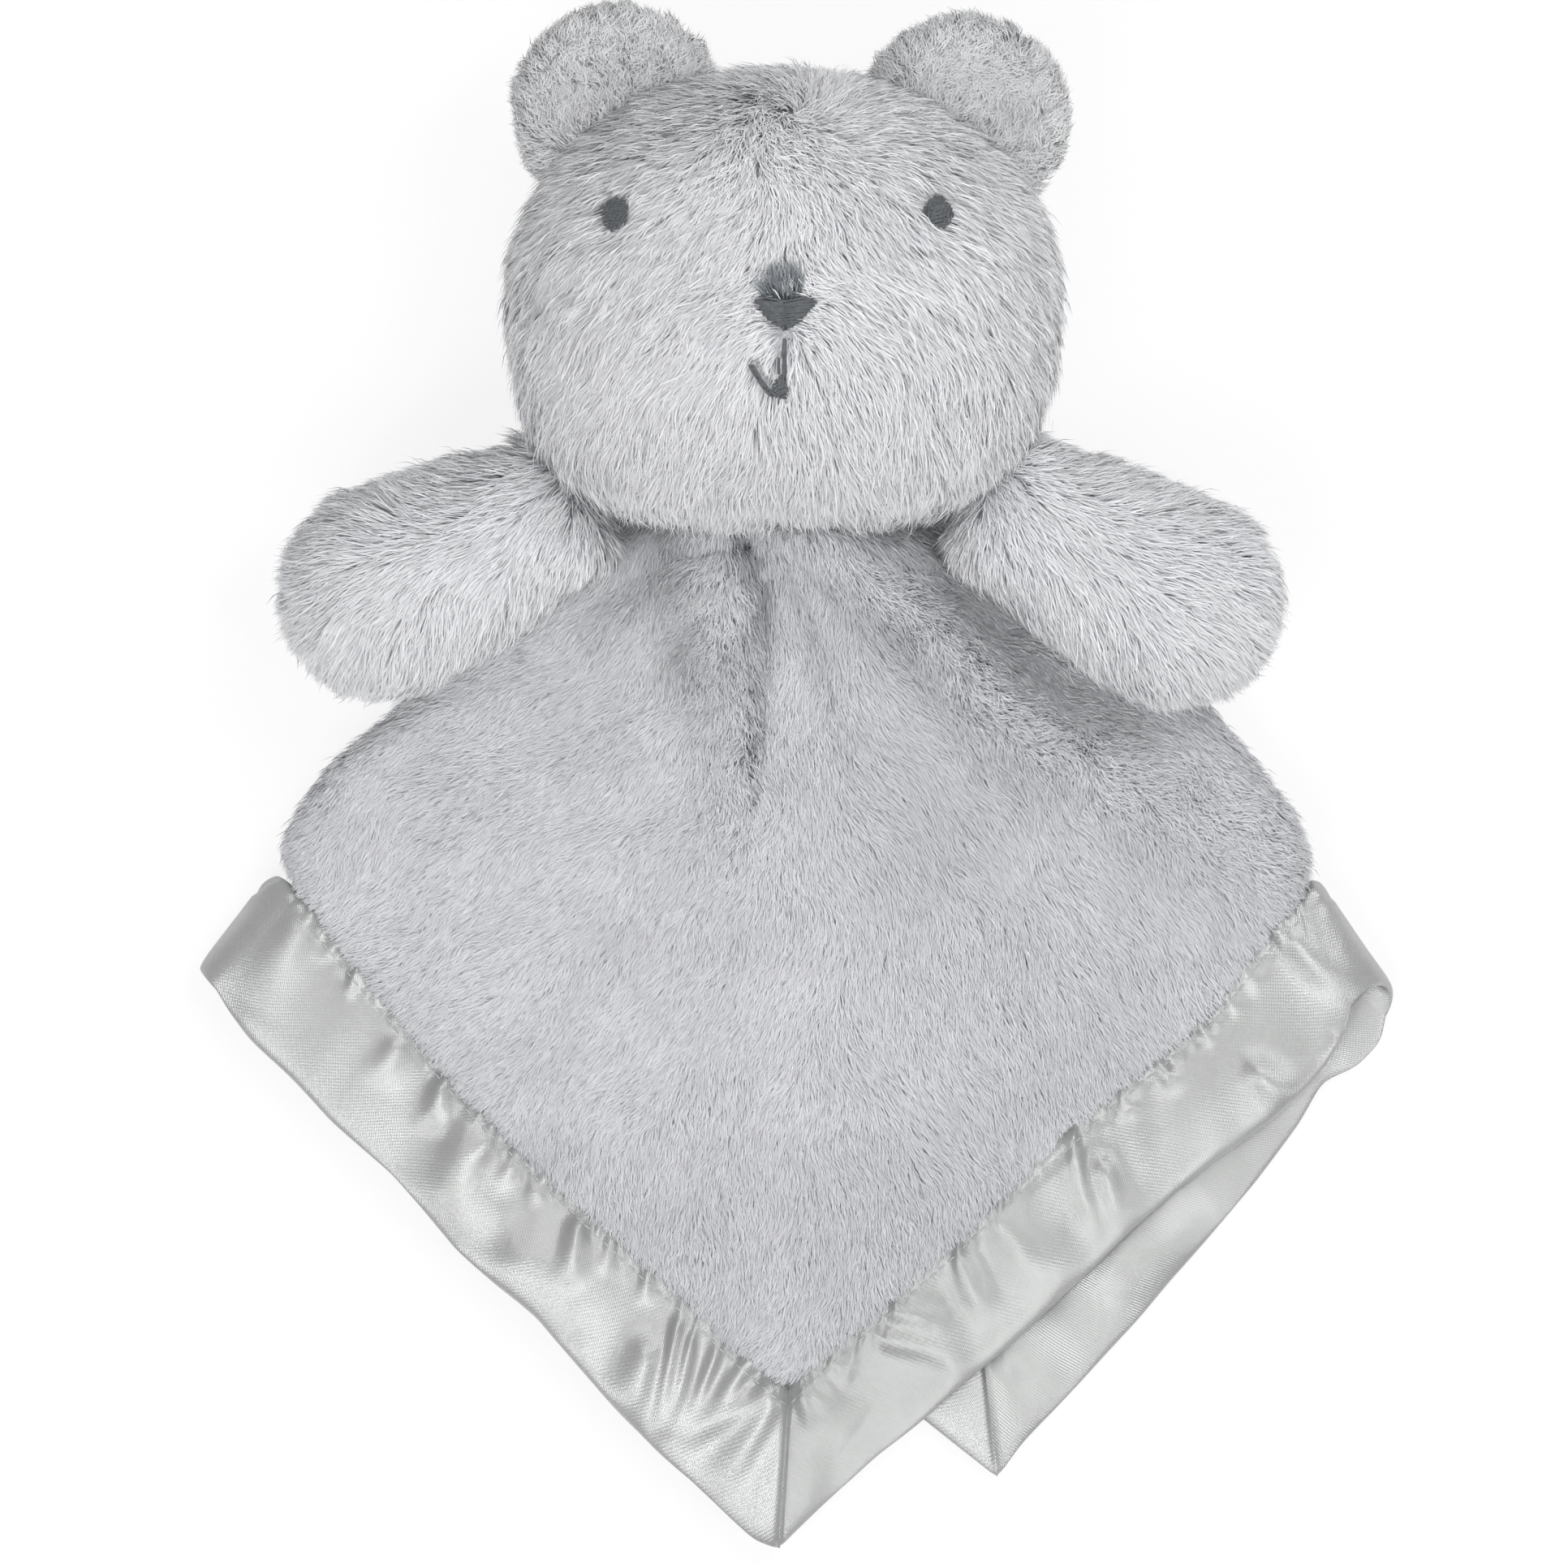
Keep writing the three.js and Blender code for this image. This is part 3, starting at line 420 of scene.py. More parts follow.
def grow_pile(name, body, ground, comb, density, length, lean, finish, seed, where=None,
              width=0.3, clump=4.5, gather=0.45, curl=0.5, wander=0.35, rows=3, clear=None,
              tone=None):
    """Strands of pile on a ground, in as many pieces as they need.

    comb gives the way that the nap lies at a place, lean is the strands' angle from the ground in
    degrees, where thins the pile out by place, no strand reaches into the places that clear holds,
    and tone makes the pile lighter or darker by place."""
    points, faces = ground
    corners = points[faces]
    if faces.shape[1] == 4:
        corners = np.concatenate([corners[:, [0, 1, 2]], corners[:, [0, 2, 3]]])
        index = np.concatenate([faces[:, [0, 1, 2]], faces[:, [0, 2, 3]]])
    else:
        index = faces
    ground_normals = corner_normals(points, faces)
    area = np.linalg.norm(np.cross(corners[:, 1] - corners[:, 0], corners[:, 2] - corners[:, 0]),
                          axis=1) / 2
    chance = np.random.default_rng(seed)
    share = 1.0
    count = int(area.sum() * density * share)
    pick = chance.choice(len(area), count, p=area / area.sum())
    u, v = chance.random((2, count))
    flip = u + v > 1
    u, v = np.where(flip, 1 - u, u), np.where(flip, 1 - v, v)
    weight = np.stack([1 - u - v, u, v], axis=1)
    roots = (corners[pick] * weight[:, :, None]).sum(1)
    normals = unit((ground_normals[index[pick]] * weight[:, :, None]).sum(1))
    if where is not None:
        held = chance.random(count) < where(roots, normals)
        roots, normals = roots[held], normals[held]
        count = len(roots)
    nap = comb(roots, normals)
    nap = unit(nap - normals * (nap * normals).sum(1, keepdims=True))
    side = np.cross(normals, nap)
    sway = (0.9 * soft_noise(roots, 9, seed + 1) + 0.5 * soft_noise(roots, 3.2, seed + 2)
            + chance.normal(0, 0.45, count))
    turn = (wander(roots) if callable(wander) else wander) * sway
    nap, side = (nap * np.cos(turn)[:, None] + side * np.sin(turn)[:, None],
                 side * np.cos(turn)[:, None] - nap * np.sin(turn)[:, None])
    long = length(roots) if callable(length) else np.full(count, float(length))
    long = long * np.exp(chance.normal(0, 0.16, count))
    rise = lean(roots) if callable(lean) else np.full(count, float(lean))
    rise = np.radians(np.clip(rise + chance.normal(0, 7, count)
                              + 7 * soft_noise(roots, 7, seed + 3), 4, 85))
    high, far = long * np.sin(rise), long * np.cos(rise)
    tips = roots + nap * far[:, None] + normals * high[:, None]

    seeds = chance.choice(count, max(8, int(count / (density * share * clump ** 2))), False)
    tree = kdtree.KDTree(len(seeds))
    for place, at in enumerate(roots[seeds]):
        tree.insert(at, place)
    tree.balance()
    leader = seeds[np.fromiter((tree.find(at)[1] for at in roots), int, count)]
    drawn = gather * chance.uniform(0.3, 1, count)
    aim = tips[leader] + 0.3 * (roots - roots[leader])
    tips = tips + (aim - tips) * drawn[:, None]
    if clear is not None:
        free = np.ones(count)
        for step in (1.0, 0.85, 0.7, 0.55, 0.45):
            free = np.where(clear(roots + (tips - roots) * step), step - 0.12, free)
        tips = roots + (tips - roots) * free[:, None]

    steps = np.linspace(0, 1, rows)
    reach = tips - roots
    upward = (reach * normals).sum(1)
    level = reach - normals * upward[:, None]
    phase = chance.uniform(0, 2 * math.pi, count)
    twist = np.radians(chance.uniform(-55, 55, count))
    broad = side * np.cos(twist)[:, None] + normals * np.sin(twist)[:, None]
    lit = unit(normals * 0.8 + broad * chance.normal(0, 0.35, count)[:, None] + nap * 0.1)
    outward = (np.cross(broad, reach) * lit).sum(1)
    broad = broad * np.where(outward < 0, -1, 1)[:, None]
    wide = width * 1.0 * chance.uniform(0.7, 1.25, count)
    spine = []
    for step in steps:
        bend = curl * (math.sin(step * 4.2) * np.cos(phase) + step * np.sin(phase)) * step
        up = upward * (1 - (1 - step) ** 2)
        spine.append(roots + level * (step ** 1.3) + normals * up[:, None] + side * bend[:, None])
    strand = []
    for step, at in zip(steps[:-1], spine[:-1]):
        half = (wide * (1 - 0.45 * step ** 2) / 2)[:, None] * broad
        strand += [at - half, at + half]
    strand.append(spine[-1])
    per = len(strand)
    vertices = np.stack(strand, axis=1)
    vertices[:, :, 2] = np.maximum(vertices[:, :, 2], LOWEST)
    template = []
    for k in range(rows - 2):
        a = 2 * k
        template += [[a, a + 1, a + 3], [a, a + 3, a + 2]]
    template.append([per - 3, per - 2, per - 1])
    template = np.array(template)

    shade = (0.5 + 0.30 * soft_noise(roots, 14, seed + 4) + 0.22 * soft_noise(roots, 3, seed + 5)
             + chance.normal(0, 0.2, count) + (0 if tone is None else tone(roots)))
    uv = np.empty((count, per, 2))
    uv[:, :, 0] = np.clip(shade, 0.01, 0.99)[:, None]
    uv[:, :, 1] = np.append(np.repeat(steps[:-1], 2), 1)[None, :] * 0.98 + 0.01
    made = []
    blocks = max(1, math.ceil(count * (2 * rows - 3) / MOST_TRIANGLES))
    order = np.argsort(roots @ np.array([1.0, 0.35, 0.1]), kind="stable")
    for number, block in enumerate(np.array_split(order, blocks)):
        faces_here = (template[None] + per * np.arange(len(block))[:, None, None]).reshape(-1, 3)
        label = name if blocks == 1 else f"{name}_{number + 1}"
        made.append(add_piece(label, vertices[block].reshape(-1, 3), faces_here, finish,
                              uv[block].reshape(-1, 2), np.repeat(lit[block], per, axis=0),
                              body))
    return made


# ---- Head ---------------------------------------------------------------------------------------

HEAD_PILE = 5.0
HEAD_SPOKES = 120
HALF_WIDTH = (head_high[0] - head_low[0]) / MM / 2
HALF_HEIGHT = (head_high[1] - head_low[1]) / MM / 2
SEAM = box_of("head_front")[0][2]
HEAD_MIDDLE = np.array([0.0, HALF_HEIGHT])
FRONT_DEPTH, BACK_DEPTH = 48.0, 46.5
MUZZLE = np.array([0.0, 40.0])
NOSE, EYES = np.array([0.5, 49.5]), [np.array([-40.5, 73.5]), np.array([37.3, 74.0])]


def head_reach(angle):
    """How far the head's outline is from its middle."""
    power = np.where(np.sin(angle) < 0, 2.75, 2.0)
    across = np.abs(np.cos(angle) / HALF_WIDTH) ** power
    along = np.abs(np.sin(angle) / HALF_HEIGHT) ** power
    return (across + along) ** (-1 / power)


def dome(share):
    return np.maximum(0, 1 - share ** 2.25) ** (1 / 2.25)


def head_front_height(plan, share, inset):
    muzzle = 7 * np.exp(-((plan - MUZZLE) ** 2).sum(1) / 27 ** 2) * (1 - share ** 4)
    cheeks = sum(2.2 * np.exp(-((plan - c) ** 2).sum(1) / 20 ** 2) for c in
                 (np.array([-36.0, 33.0]), np.array([36.0, 33.0]))) * (1 - share ** 4)
    sockets = sum(1.6 * np.exp(-((plan - e) ** 2).sum(1) / 9 ** 2) for e in EYES)
    lump = 1.1 * soft_noise(plan, 21, 5) * (1 - share ** 3)
    return SEAM + dome(share) * (FRONT_DEPTH - inset) + muzzle + cheeks + lump - sockets


def head_ground(inset):
    def front(plan, share):
        return head_front_height(plan, share, inset)

    def back(plan, share):
        return np.maximum(SEAM - dome(share) * (BACK_DEPTH - inset), inset * 0.35)

    return cushion(lambda a: head_reach(a) - inset, HEAD_MIDDLE, front, back, HEAD_SPOKES, 34)


def face_height(plan):
    """Height of the tips of the pile over a place on the face."""
    away = plan - HEAD_MIDDLE
    share = np.linalg.norm(away, axis=1) / head_reach(np.arctan2(away[:, 1], away[:, 0]))
    return head_front_height(plan, np.minimum(share, 1), 0) - 0.6


WHORL = np.array([1.0, 96.0])


def head_nap(points, normals):
    """The nap of the head runs out from a whorl high on the forehead, and out from the nose."""
    plan = points[:, :2]
    away = plan - WHORL
    far = np.linalg.norm(away, axis=1)
    flow = away / (far[:, None] + 9) + np.array([0, -0.3])
    from_nose = plan - (MUZZLE + np.array([0, 5.0]))
    reach = np.linalg.norm(from_nose, axis=1)
    pull = 1.3 * np.exp(-(reach / 19) ** 2)
    out = unit(from_nose)
    swirl = np.exp(-(far / 15) ** 2)[:, None] * np.stack([-away[:, 1], away[:, 0]], axis=1) / 15
    flat = flow + out * pull[:, None] + 0.9 * swirl
    lower = smoothstep(40, 10, plan[:, 1])[:, None]
    flat = flat + lower * np.array([0, -0.8])
    down = np.where(points[:, 2] > SEAM, -0.35, 0.2)
    return np.column_stack([flat, down * smoothstep(0.9, 0.2, normals[:, 2])])


MOUTH = np.array([[0.1, 43.2], [-0.1, 38.5], [-0.2, 34.5], [-0.7, 30.6], [-1.8, 29.4],
                  [-3.6, 30.8], [-5.6, 33.6], [-7.6, 37.0]])


def on_stitches(points):
    """The places of the stitched eyes, nose and mouth, which the pile leaves free."""
    plan = points[:, :2]
    near = nearest(plan, MOUTH)[0] < 0.95
    for eye in EYES:
        near |= (((plan - eye) / np.array([2.9, 3.9])) ** 2).sum(1) < 1
    off = plan - NOSE
    near |= (off[:, 1] < 3.6) & (np.abs(off[:, 0]) < 7.0 * np.clip((off[:, 1] + 4.4) / 6.4, 0, 1))
    return near & (points[:, 2] > SEAM)


def head_length(points):
    plan = points[:, :2]
    long = 8.6 + 2.6 * smoothstep(45, 12, plan[:, 1])
    brow = np.exp(-((plan[:, 1] - 88) / 14) ** 2) * (np.abs(plan[:, 0]) < 38)
    near = np.exp(-(np.linalg.norm(plan - NOSE, axis=1) / 14) ** 2)
    back = points[:, 2] < SEAM - 8
    return np.where(back, 7.5, long - 2.2 * brow - 3.2 * near)


def head_wander(points):
    """The nap lies every way where it parts, high on the forehead."""
    return 0.4 + 1.3 * np.exp(-(np.linalg.norm(points[:, :2] - WHORL, axis=1) / 10) ** 2)


def head_lean(points):
    return 25 + 10 * np.exp(-(np.linalg.norm(points[:, :2] - NOSE, axis=1) / 14) ** 2)


ground = head_ground(HEAD_PILE)
stuffed("head_skin", ground, HEAD_SPOKES, "knit", "head", ("head_front", "head_back"))
grow_pile("head_pile", "head", ground, head_nap, 5.2, head_length, head_lean, "head", 11,
          where=lambda p, n: np.where(p[:, 2] < SEAM - 6, 0.5, 1.0),
          width=0.32, clump=4.2, gather=0.45, curl=0.7, wander=head_wander, rows=4,
          clear=on_stitches, tone=lambda p: -0.05 - 0.25 * smoothstep(118, 150, p[:, 1]))

points, faces = head_ground(box_of("head_stuffing")[0][0] + HALF_WIDTH + 2)
lumps = 1 + 0.02 * soft_noise(points, 12, 31)
middle = points.mean(0)
stuffed("head_filling", (middle + (points - middle) * lumps[:, None], faces), HEAD_SPOKES,
        "filling", "head", ("head_stuffing",))


# ---- Stitched face ------------------------------------------------------------------------------


def stitches(name, starts, ends, width, lift, node):
    """Threads that lie over the face from starts to ends, each a flattened rope."""
    starts, ends = (np.concatenate(part) for part in (starts, ends))
    count, steps, sides = len(starts), 5, 5
    t = np.linspace(0, 1, steps)
    plan = starts[:, None] + (ends - starts)[:, None] * t[None, :, None]
    level = face_height(plan.reshape(-1, 2)).reshape(count, steps)
    arch = lift * np.sin(np.pi * np.clip(t, 0.06, 0.94))[None]
    along = unit(ends - starts)
    across = np.stack([-along[:, 1], along[:, 0]], axis=1)
    turn = np.linspace(0, 2 * math.pi, sides, endpoint=False)
    taper = np.sin(np.pi * np.clip(t, 0.12, 0.88)) ** 0.4
    rings = []
    for c, s in zip(np.cos(turn), np.sin(turn)):
        out = plan + across[:, None] * (width / 2 * c * taper)[None, :, None]
        up = level + arch + width * 0.36 * s * taper[None]
        rings.append(np.concatenate([out, up[:, :, None]], axis=2))
    vertices = np.stack(rings, axis=2)
    one = grid_faces(sides, steps, closed_columns=True)
    faces = (one[None] + steps * sides * np.arange(count)[:, None, None]).reshape(-1, 4)
    add_piece(name, vertices.reshape(-1, 3), faces, "embroidery", body="head", nodes=(node,))


def oval_threads(centre, half, tilt, count, seed):
    """Ends of satin stitches laid across an oval."""
    chance = np.random.default_rng(seed)
    y = np.linspace(-0.97, 0.97, count) + chance.normal(0, 0.03, count)
    x = np.sqrt(np.clip(1 - y ** 2, 0.02, 1))
    left = np.stack([-x * half[0], y * half[1] + chance.normal(0, 0.25, count)], axis=1)
    right = np.stack([x * half[0], y * half[1] + chance.normal(0, 0.25, count)], axis=1)
    c, s = math.cos(tilt), math.sin(tilt)
    spin = np.array([[c, -s], [s, c]])
    return left @ spin.T + centre, right @ spin.T + centre


for word, eye, tilt in (("left", EYES[0], -0.12), ("right", EYES[1], 0.3)):
    threads = oval_threads(eye, (2.9, 3.9), tilt, 26, 41)
    crossing = oval_threads(eye, (2.6, 3.6), tilt + 1.1, 13, 43)
    stitches(f"eye_{word}_stitches", *zip(threads, crossing), 0.62, 0.5, f"eye_{word}")

chance = np.random.default_rng(47)
rows = np.linspace(0, 1, 26)
half = 7.7 * (1 - rows) ** 0.68 * np.minimum(1, 0.72 + rows * 1.9) + 0.5
starts, ends = (np.stack([side, 3.6 - 7.8 * rows], axis=1) + NOSE + chance.normal(0, 0.25, (26, 2))
                for side in (-half, half))
middle = (starts + ends) / 2 - np.array([0, 1.2]) * (1 - rows)[:, None]
stitches("nose_stitches", (starts, middle), (middle, ends), 0.72, 0.7, "nose")

spread = np.random.default_rng(53).normal(0, 0.22, (3, len(MOUTH) - 1, 2))
starts, ends = ([part + spread[k] + np.array([aside, 0])
                 for k, aside in enumerate((0, 0.36, -0.36))] for part in (MOUTH[:-1], MOUTH[1:]))
knot_a, knot_b = oval_threads(np.array([-0.6, 31.0]), (1.9, 2.2), 0.4, 9, 55)
stitches("mouth_stitches", starts + [knot_a], ends + [knot_b], 0.85, 0.4, "mouth")

away = np.linspace(-1, 1, 40)
patch = np.array([[0.4 + x * (4.2 - 1.6 * y), 51.6 + y * 4.6] for y in np.linspace(0, 1, 8)
                  for x in away])
patch = np.column_stack([patch, face_height(patch) - 3.2])
grow_pile("nose_fuzz", "head", (patch, grid_faces(40, 8)),
          lambda p, n: np.column_stack([p[:, 0] * 0.12, np.ones(len(p)), np.zeros(len(p))]),
          6.0, 7.0, 38, "fuzz", 61, width=0.34, clump=2.0, gather=0.5, rows=3)


# ---- Ears ---------------------------------------------------------------------------------------

EAR_PILE = 3.5
EAR_SPOKES = 72
EARS = {"left": (42.0, -1), "right": (46.0, 1)}


def ear_ground(word, inset):
    bearing, side = EARS[word]
    angle = math.radians(90 - side * bearing)
    reach = head_reach(np.array([angle]))[0]
    centre = HEAD_MIDDLE + reach * np.array([math.cos(angle), math.sin(angle)])
    outward = unit(centre - HEAD_MIDDLE)
    pole = centre + 12 * outward
    low, high = box_of(f"ear_{word}_front")
    radius = 26.5 - inset

    def inside(plan):
        away = plan - HEAD_MIDDLE
        past = np.linalg.norm(away, axis=1) - head_reach(np.arctan2(away[:, 1], away[:, 0]))
        return (np.linalg.norm(plan - centre, axis=1) < radius) & (past > -3.5)

    def hollow(plan):
        base = plan - (centre + 7.0 * outward)
        return np.exp(-(base ** 2).sum(1) / (12.0 if side < 0 else 14.0) ** 2)

    def front(plan, share):
        crown = (5.4 - inset * 0.7) * np.sqrt(np.maximum(1 - share ** 4, 0))
        dish = (4.4 if side < 0 else 2.6) * hollow(plan)
        rim = 1.3 * np.exp(-((share - 0.8) / 0.16) ** 2)
        return SEAM + crown - dish + rim + 0.5 * soft_noise(plan, 8, 71)

    def back(plan, share):
        return SEAM - (5.4 - inset * 0.7) * np.sqrt(np.maximum(1 - share ** 4, 0))

    ground = cushion(far_edge(inside, pole, 60), pole, front, back, EAR_SPOKES, 18)
    return ground, centre, outward


for word, seed in (("left", 81), ("right", 91)):
    body = f"ear_{word}"
    ground, centre, outward = ear_ground(word, EAR_PILE)
    stuffed(f"{body}_skin", ground, EAR_SPOKES, "knit", body, (f"{body}_front", f"{body}_back"))

    def ear_nap(at, normals, centre=centre, outward=outward):
        away = at[:, :2] - centre
        turn = 1.3 * soft_noise(at, 11, 77)
        flow = unit(away * 0.6 + outward * 8)
        spun = np.stack([flow[:, 0] * np.cos(turn) - flow[:, 1] * np.sin(turn),
                         flow[:, 0] * np.sin(turn) + flow[:, 1] * np.cos(turn)], axis=1)
        return np.column_stack([spun, np.zeros(len(at))])

    grow_pile(f"{body}_pile", body, ground, ear_nap, 6.5, 4.4, 42, "ear",
              seed, where=lambda p, n: np.where(n[:, 2] < -0.3, 0.6, 1.0), width=0.3, clump=3.0,
              gather=0.6, curl=1.2, wander=0.9)


# ---- Arms ---------------------------------------------------------------------------------------

ARM_PILE, ARM_FILLING = 3.4, 7.5
ARM_SPOKES = 96
ARM_LEVEL = box_of("arm_left_upper")[0][2]
ARM_LENGTH, ARM_WIDTH, ARM_ROOT = 70.5, 51.0, 37.0
ARMS = {"left": (-1, 25.5), "right": (1, 28.4)}


def arm_ground(word, inset, root=0.0):
    side, droop = ARMS[word]
    droop = math.radians(droop)
    along = np.array([side * math.cos(droop), -math.sin(droop)])
    across = np.array([-along[1], along[0]])
    shoulder = np.array([side * 56.0, 3.5])
    pole = shoulder + along * ARM_LENGTH * 0.52

    def inside(plan):
        u, v = (plan - shoulder) @ along, (plan - shoulder) @ across
        centre = ARM_LENGTH - ARM_WIDTH / 2
        widen = np.sin(np.clip(u / centre, 0, 1) * math.pi / 2)
        half = (ARM_ROOT + (ARM_WIDTH - ARM_ROOT) * widen) / 2 - inset
        tip = np.hypot(u - centre, v) < ARM_WIDTH / 2 - inset
        return np.where(u > centre, tip, (u > inset - root) & (np.abs(v) < half))

    def height(sign, deep):
        def at(plan, share):
            lump = 1.3 * soft_noise(plan, 17, 101 + side)
            crown = np.maximum(0, 1 - share ** 2.3) ** (1 / 2.3)
            return ARM_LEVEL + sign * crown * (deep - inset * 0.8 + (lump if sign > 0 else 0))
        return at

    ground = cushion(far_edge(inside, pole, 90), pole, height(1, 18.6), height(-1, 16.6),
                     ARM_SPOKES, 22)
    return ground, shoulder, along, across


for word, seed in (("left", 111), ("right", 121)):
    ground, shoulder, along, across = arm_ground(word, ARM_PILE, root=12.0)
    body = f"arm_{word}"
    stuffed(f"{body}_skin", ground, ARM_SPOKES, "knit", body, (f"{body}_upper", f"{body}_under"))

    def arm_nap(at, normals, shoulder=shoulder, along=along, across=across):
        v = (at[:, :2] - shoulder) @ across
        sweep = 0.35 * soft_noise(at, 30, 131) - 0.25 * np.sign(across[1])
        flat = along + across * (v / 30 + sweep)[:, None]
        return np.column_stack([flat, np.full(len(at), -0.4)])

    grow_pile(f"{body}_pile", body, ground, arm_nap, 5.2, 7.6, 25, "head", seed,
              where=lambda p, n: np.where(p[:, 2] < ARM_LEVEL - 4, 0.5, 1.0), width=0.34,
              clump=4.2, gather=0.5, curl=0.6, rows=4, tone=lambda p: np.full(len(p), -0.3))
    stuffed(f"{body}_filling", arm_ground(word, ARM_FILLING)[0], ARM_SPOKES, "filling", body,
            (f"{body}_stuffing",))


# ---- Blanket: lines traced from the photograph ---------------------------------------------------

LEFT_FREE = traced((523, 850), (470, 894), (412, 942), (370, 998), (351, 1037), (357, 1078))
RIGHT_FREE = traced((1485, 866), (1548, 950), (1588, 1006), (1604, 1058), (1606, 1096))
LEFT_SEAM = traced((357, 1078), (390, 1130), (447, 1200), (507, 1272), (566, 1342), (630, 1406),
                   (680, 1455), (726, 1497), (790, 1555), (838, 1593), (898, 1653), (969, 1708))
RIGHT_SEAM = traced((969, 1708), (1010, 1680), (1090, 1612), (1190, 1520), (1298, 1416),
                    (1350, 1368), (1408, 1319), (1460, 1276), (1500, 1238), (1535, 1188),
                    (1575, 1136), (1606, 1096))
NECK_LINE = np.array([(103.2, -42.9), (97, -30), (88, -9), (60, -1), (40, 6.5), (14, 9.5),
                      (-14, 9.5), (-40, 6.5), (-60, -1), (-86, -9), (-91, -30), (-87.7, -39.7)])


def along_line(line, count, rounding=2):
    """Evenly spaced points on a line, with its corners rounded."""
    line = np.asarray(line, float)
    far = np.append(0, np.cumsum(np.linalg.norm(np.diff(line, axis=0), axis=1)))
    at = np.linspace(0, far[-1], count)
    points = np.stack([np.interp(at, far, line[:, k]) for k in range(line.shape[1])], axis=1)
    for _ in range(rounding * count // 40):
        points[1:-1] = (points[:-2] + 2 * points[1:-1] + points[2:]) / 4
    return points


def inside_line(outline):
    """Whether places lie inside a closed line."""
    a, b = outline, np.roll(outline, -1, axis=0)

    def held(plan):
        x, y = plan[:, 0][:, None], plan[:, 1][:, None]
        spans = (a[:, 1] > y) != (b[:, 1] > y)
        rise = np.where(np.abs(b[:, 1] - a[:, 1]) < 1e-9, 1e-9, b[:, 1] - a[:, 1])
        cross = a[:, 0] + (y - a[:, 1]) / rise * (b[:, 0] - a[:, 0])
        return (spans & (x < cross)).sum(1) % 2 == 1

    return held


def fold(plan, line, rise, spread, far_spread=None, fade=0.8):
    """A ridge or a valley along a line that starts deep and fades out at its end."""
    gap, share, side = nearest(plan, np.asarray(line, float))
    wide = np.where(side > 0, spread, far_spread or spread) * (1 + 0.7 * share)
    return rise * smoothstep(1, 0, share) ** fade * np.exp(-(gap / wide) ** 2)


def folded(plan, folds):
    return sum(fold(plan, *one) for one in folds)


# ---- Blanket: front plush ------------------------------------------------------------------------

PLATE = 15.2
FREE_EDGES = (LEFT_FREE, RIGHT_FREE)
PLEAT = [(-10.4, 4), (-9.8, -4), (-6.8, -14), (-5.0, -28), (-5.4, -44), (-6.2, -60), (-7.0, -76),
         (-7.0, -92)]
LOBE = [(-21, 6), (-21.5, -8), (-18.0, -24), (-14.0, -42), (-11.5, -60), (-10.5, -84)]
RIDGE = [(2, 4), (12, -4), (29.4, -18.3), (43, -34), (58.8, -50), (86, -65), (121, -80),
         (138, -88)]
STRIP = [(1.5, 4), (4, -16), (7, -40), (10, -70), (12, -90)]

# Each fold has its line, its rise, how far it spreads on both sides and how fast it fades
NECK_FOLDS = ((PLEAT, -9.5, 6.5, 2.4, 0.45), (LOBE, 9.0, 7.0, 6.5, 0.4),
              (RIDGE, 10.0, 11.0, 11.0, 0.35), (STRIP, -3.5, 7, 7, 0.8),
              (RIDGE, 3.0, 4.5, 5.0, 0.3))
SIDE_FOLDS = (([(-30, 0), (-42, -16), (-62, -44), (-84, -70)], -4.0, 9, 9, 0.8),
              ([(34, -4), (52, -22), (80, -40), (108, -58)], -1.5, 8, 8, 0.8))
LOWER_FOLDS = (([(18, -52), (30, -96), (34, -140)], 2.4, 13, 20, 1.0),
               ([(-38, -60), (-50, -96), (-52, -120)], 1.8, 18, 16, 1.0))
# Painted shade on the shaded side of the ridge, beside the lobe under the neck and in a low valley;
# for these the rise is how much darker the pile is painted
PAINTED_SHADE_FOLDS = (([(18, -14), (44, -40), (72, -62), (118, -86)], 0.28, 8, 13, 0.15),
              ([(-20, -18), (-14, -40), (-9, -66)], 0.22, 8, 8, 0.25),
              ([(22, -62), (32, -92), (20, -130)], 0.28, 14, 14, 0.4))
# Painted light along the strip beside the pleat and over the lower left; for these the rise is how
# much lighter the pile is painted
PAINTED_LIGHT_FOLDS = (([(0, -4), (4, -30), (6, -60)], 0.3, 6, 6, 0.5),
               ([(-90, -50), (-70, -80), (-20, -150)], 0.2, 24, 24, 0.5))


def body_height(plan):
    """Height of the knitted ground of the front plush."""
    x, y = plan[:, 0], plan[:, 1]
    fall = smoothstep(-62, -2, y) ** 1.25 * smoothstep(12, 3, y)
    chest = 22.5 * np.exp(-np.abs(x / 30) ** 2.2) * fall
    shoulders = 3.0 * np.exp(-((np.abs(x) - 42) / 18) ** 2) * np.exp(-((y + 8) / 22) ** 2)
    folds = folded(plan, NECK_FOLDS) * smoothstep(11, -3, y)
    waves = 1.5 * soft_noise(plan, 43, 201) + 0.7 * soft_noise(plan, 17, 202)
    rays = 1.2 * np.cos(np.arctan2(x, -y) * 13 + 0.7) * smoothstep(110, 45, np.hypot(x, y))
    settle = 1 - 0.55 * smoothstep(38, 70, np.abs(x)) * smoothstep(-60, -20, y)
    return PLATE + chest + shoulders + (folds + folded(plan, SIDE_FOLDS)
                                        + folded(plan, LOWER_FOLDS) + waves + rays) * settle


def seam_gap(plan):
    return np.minimum(nearest(plan, LEFT_SEAM)[0], nearest(plan, RIGHT_SEAM)[0])


FREE_RIM, SEAM_RIM = 8.5, 13.0


def rolled(gap, radius):
    """Share of full height near an edge that rolls down over that radius."""
    near = np.clip(1 - gap / radius, 0, 1)
    return np.sqrt(np.maximum(1 - near ** 2, 0))


def front_crown(plan, share):
    free = np.minimum(*(nearest(plan, line)[0] for line in FREE_EDGES))
    closed = np.minimum(seam_gap(plan), nearest(plan, NECK_LINE)[0])
    high = body_height(plan)
    high = FREE_RIM + (high - FREE_RIM) * rolled(free + 0.3, 9)
    return SEAM_RIM + (high - SEAM_RIM) * rolled(closed + 0.4, 5)


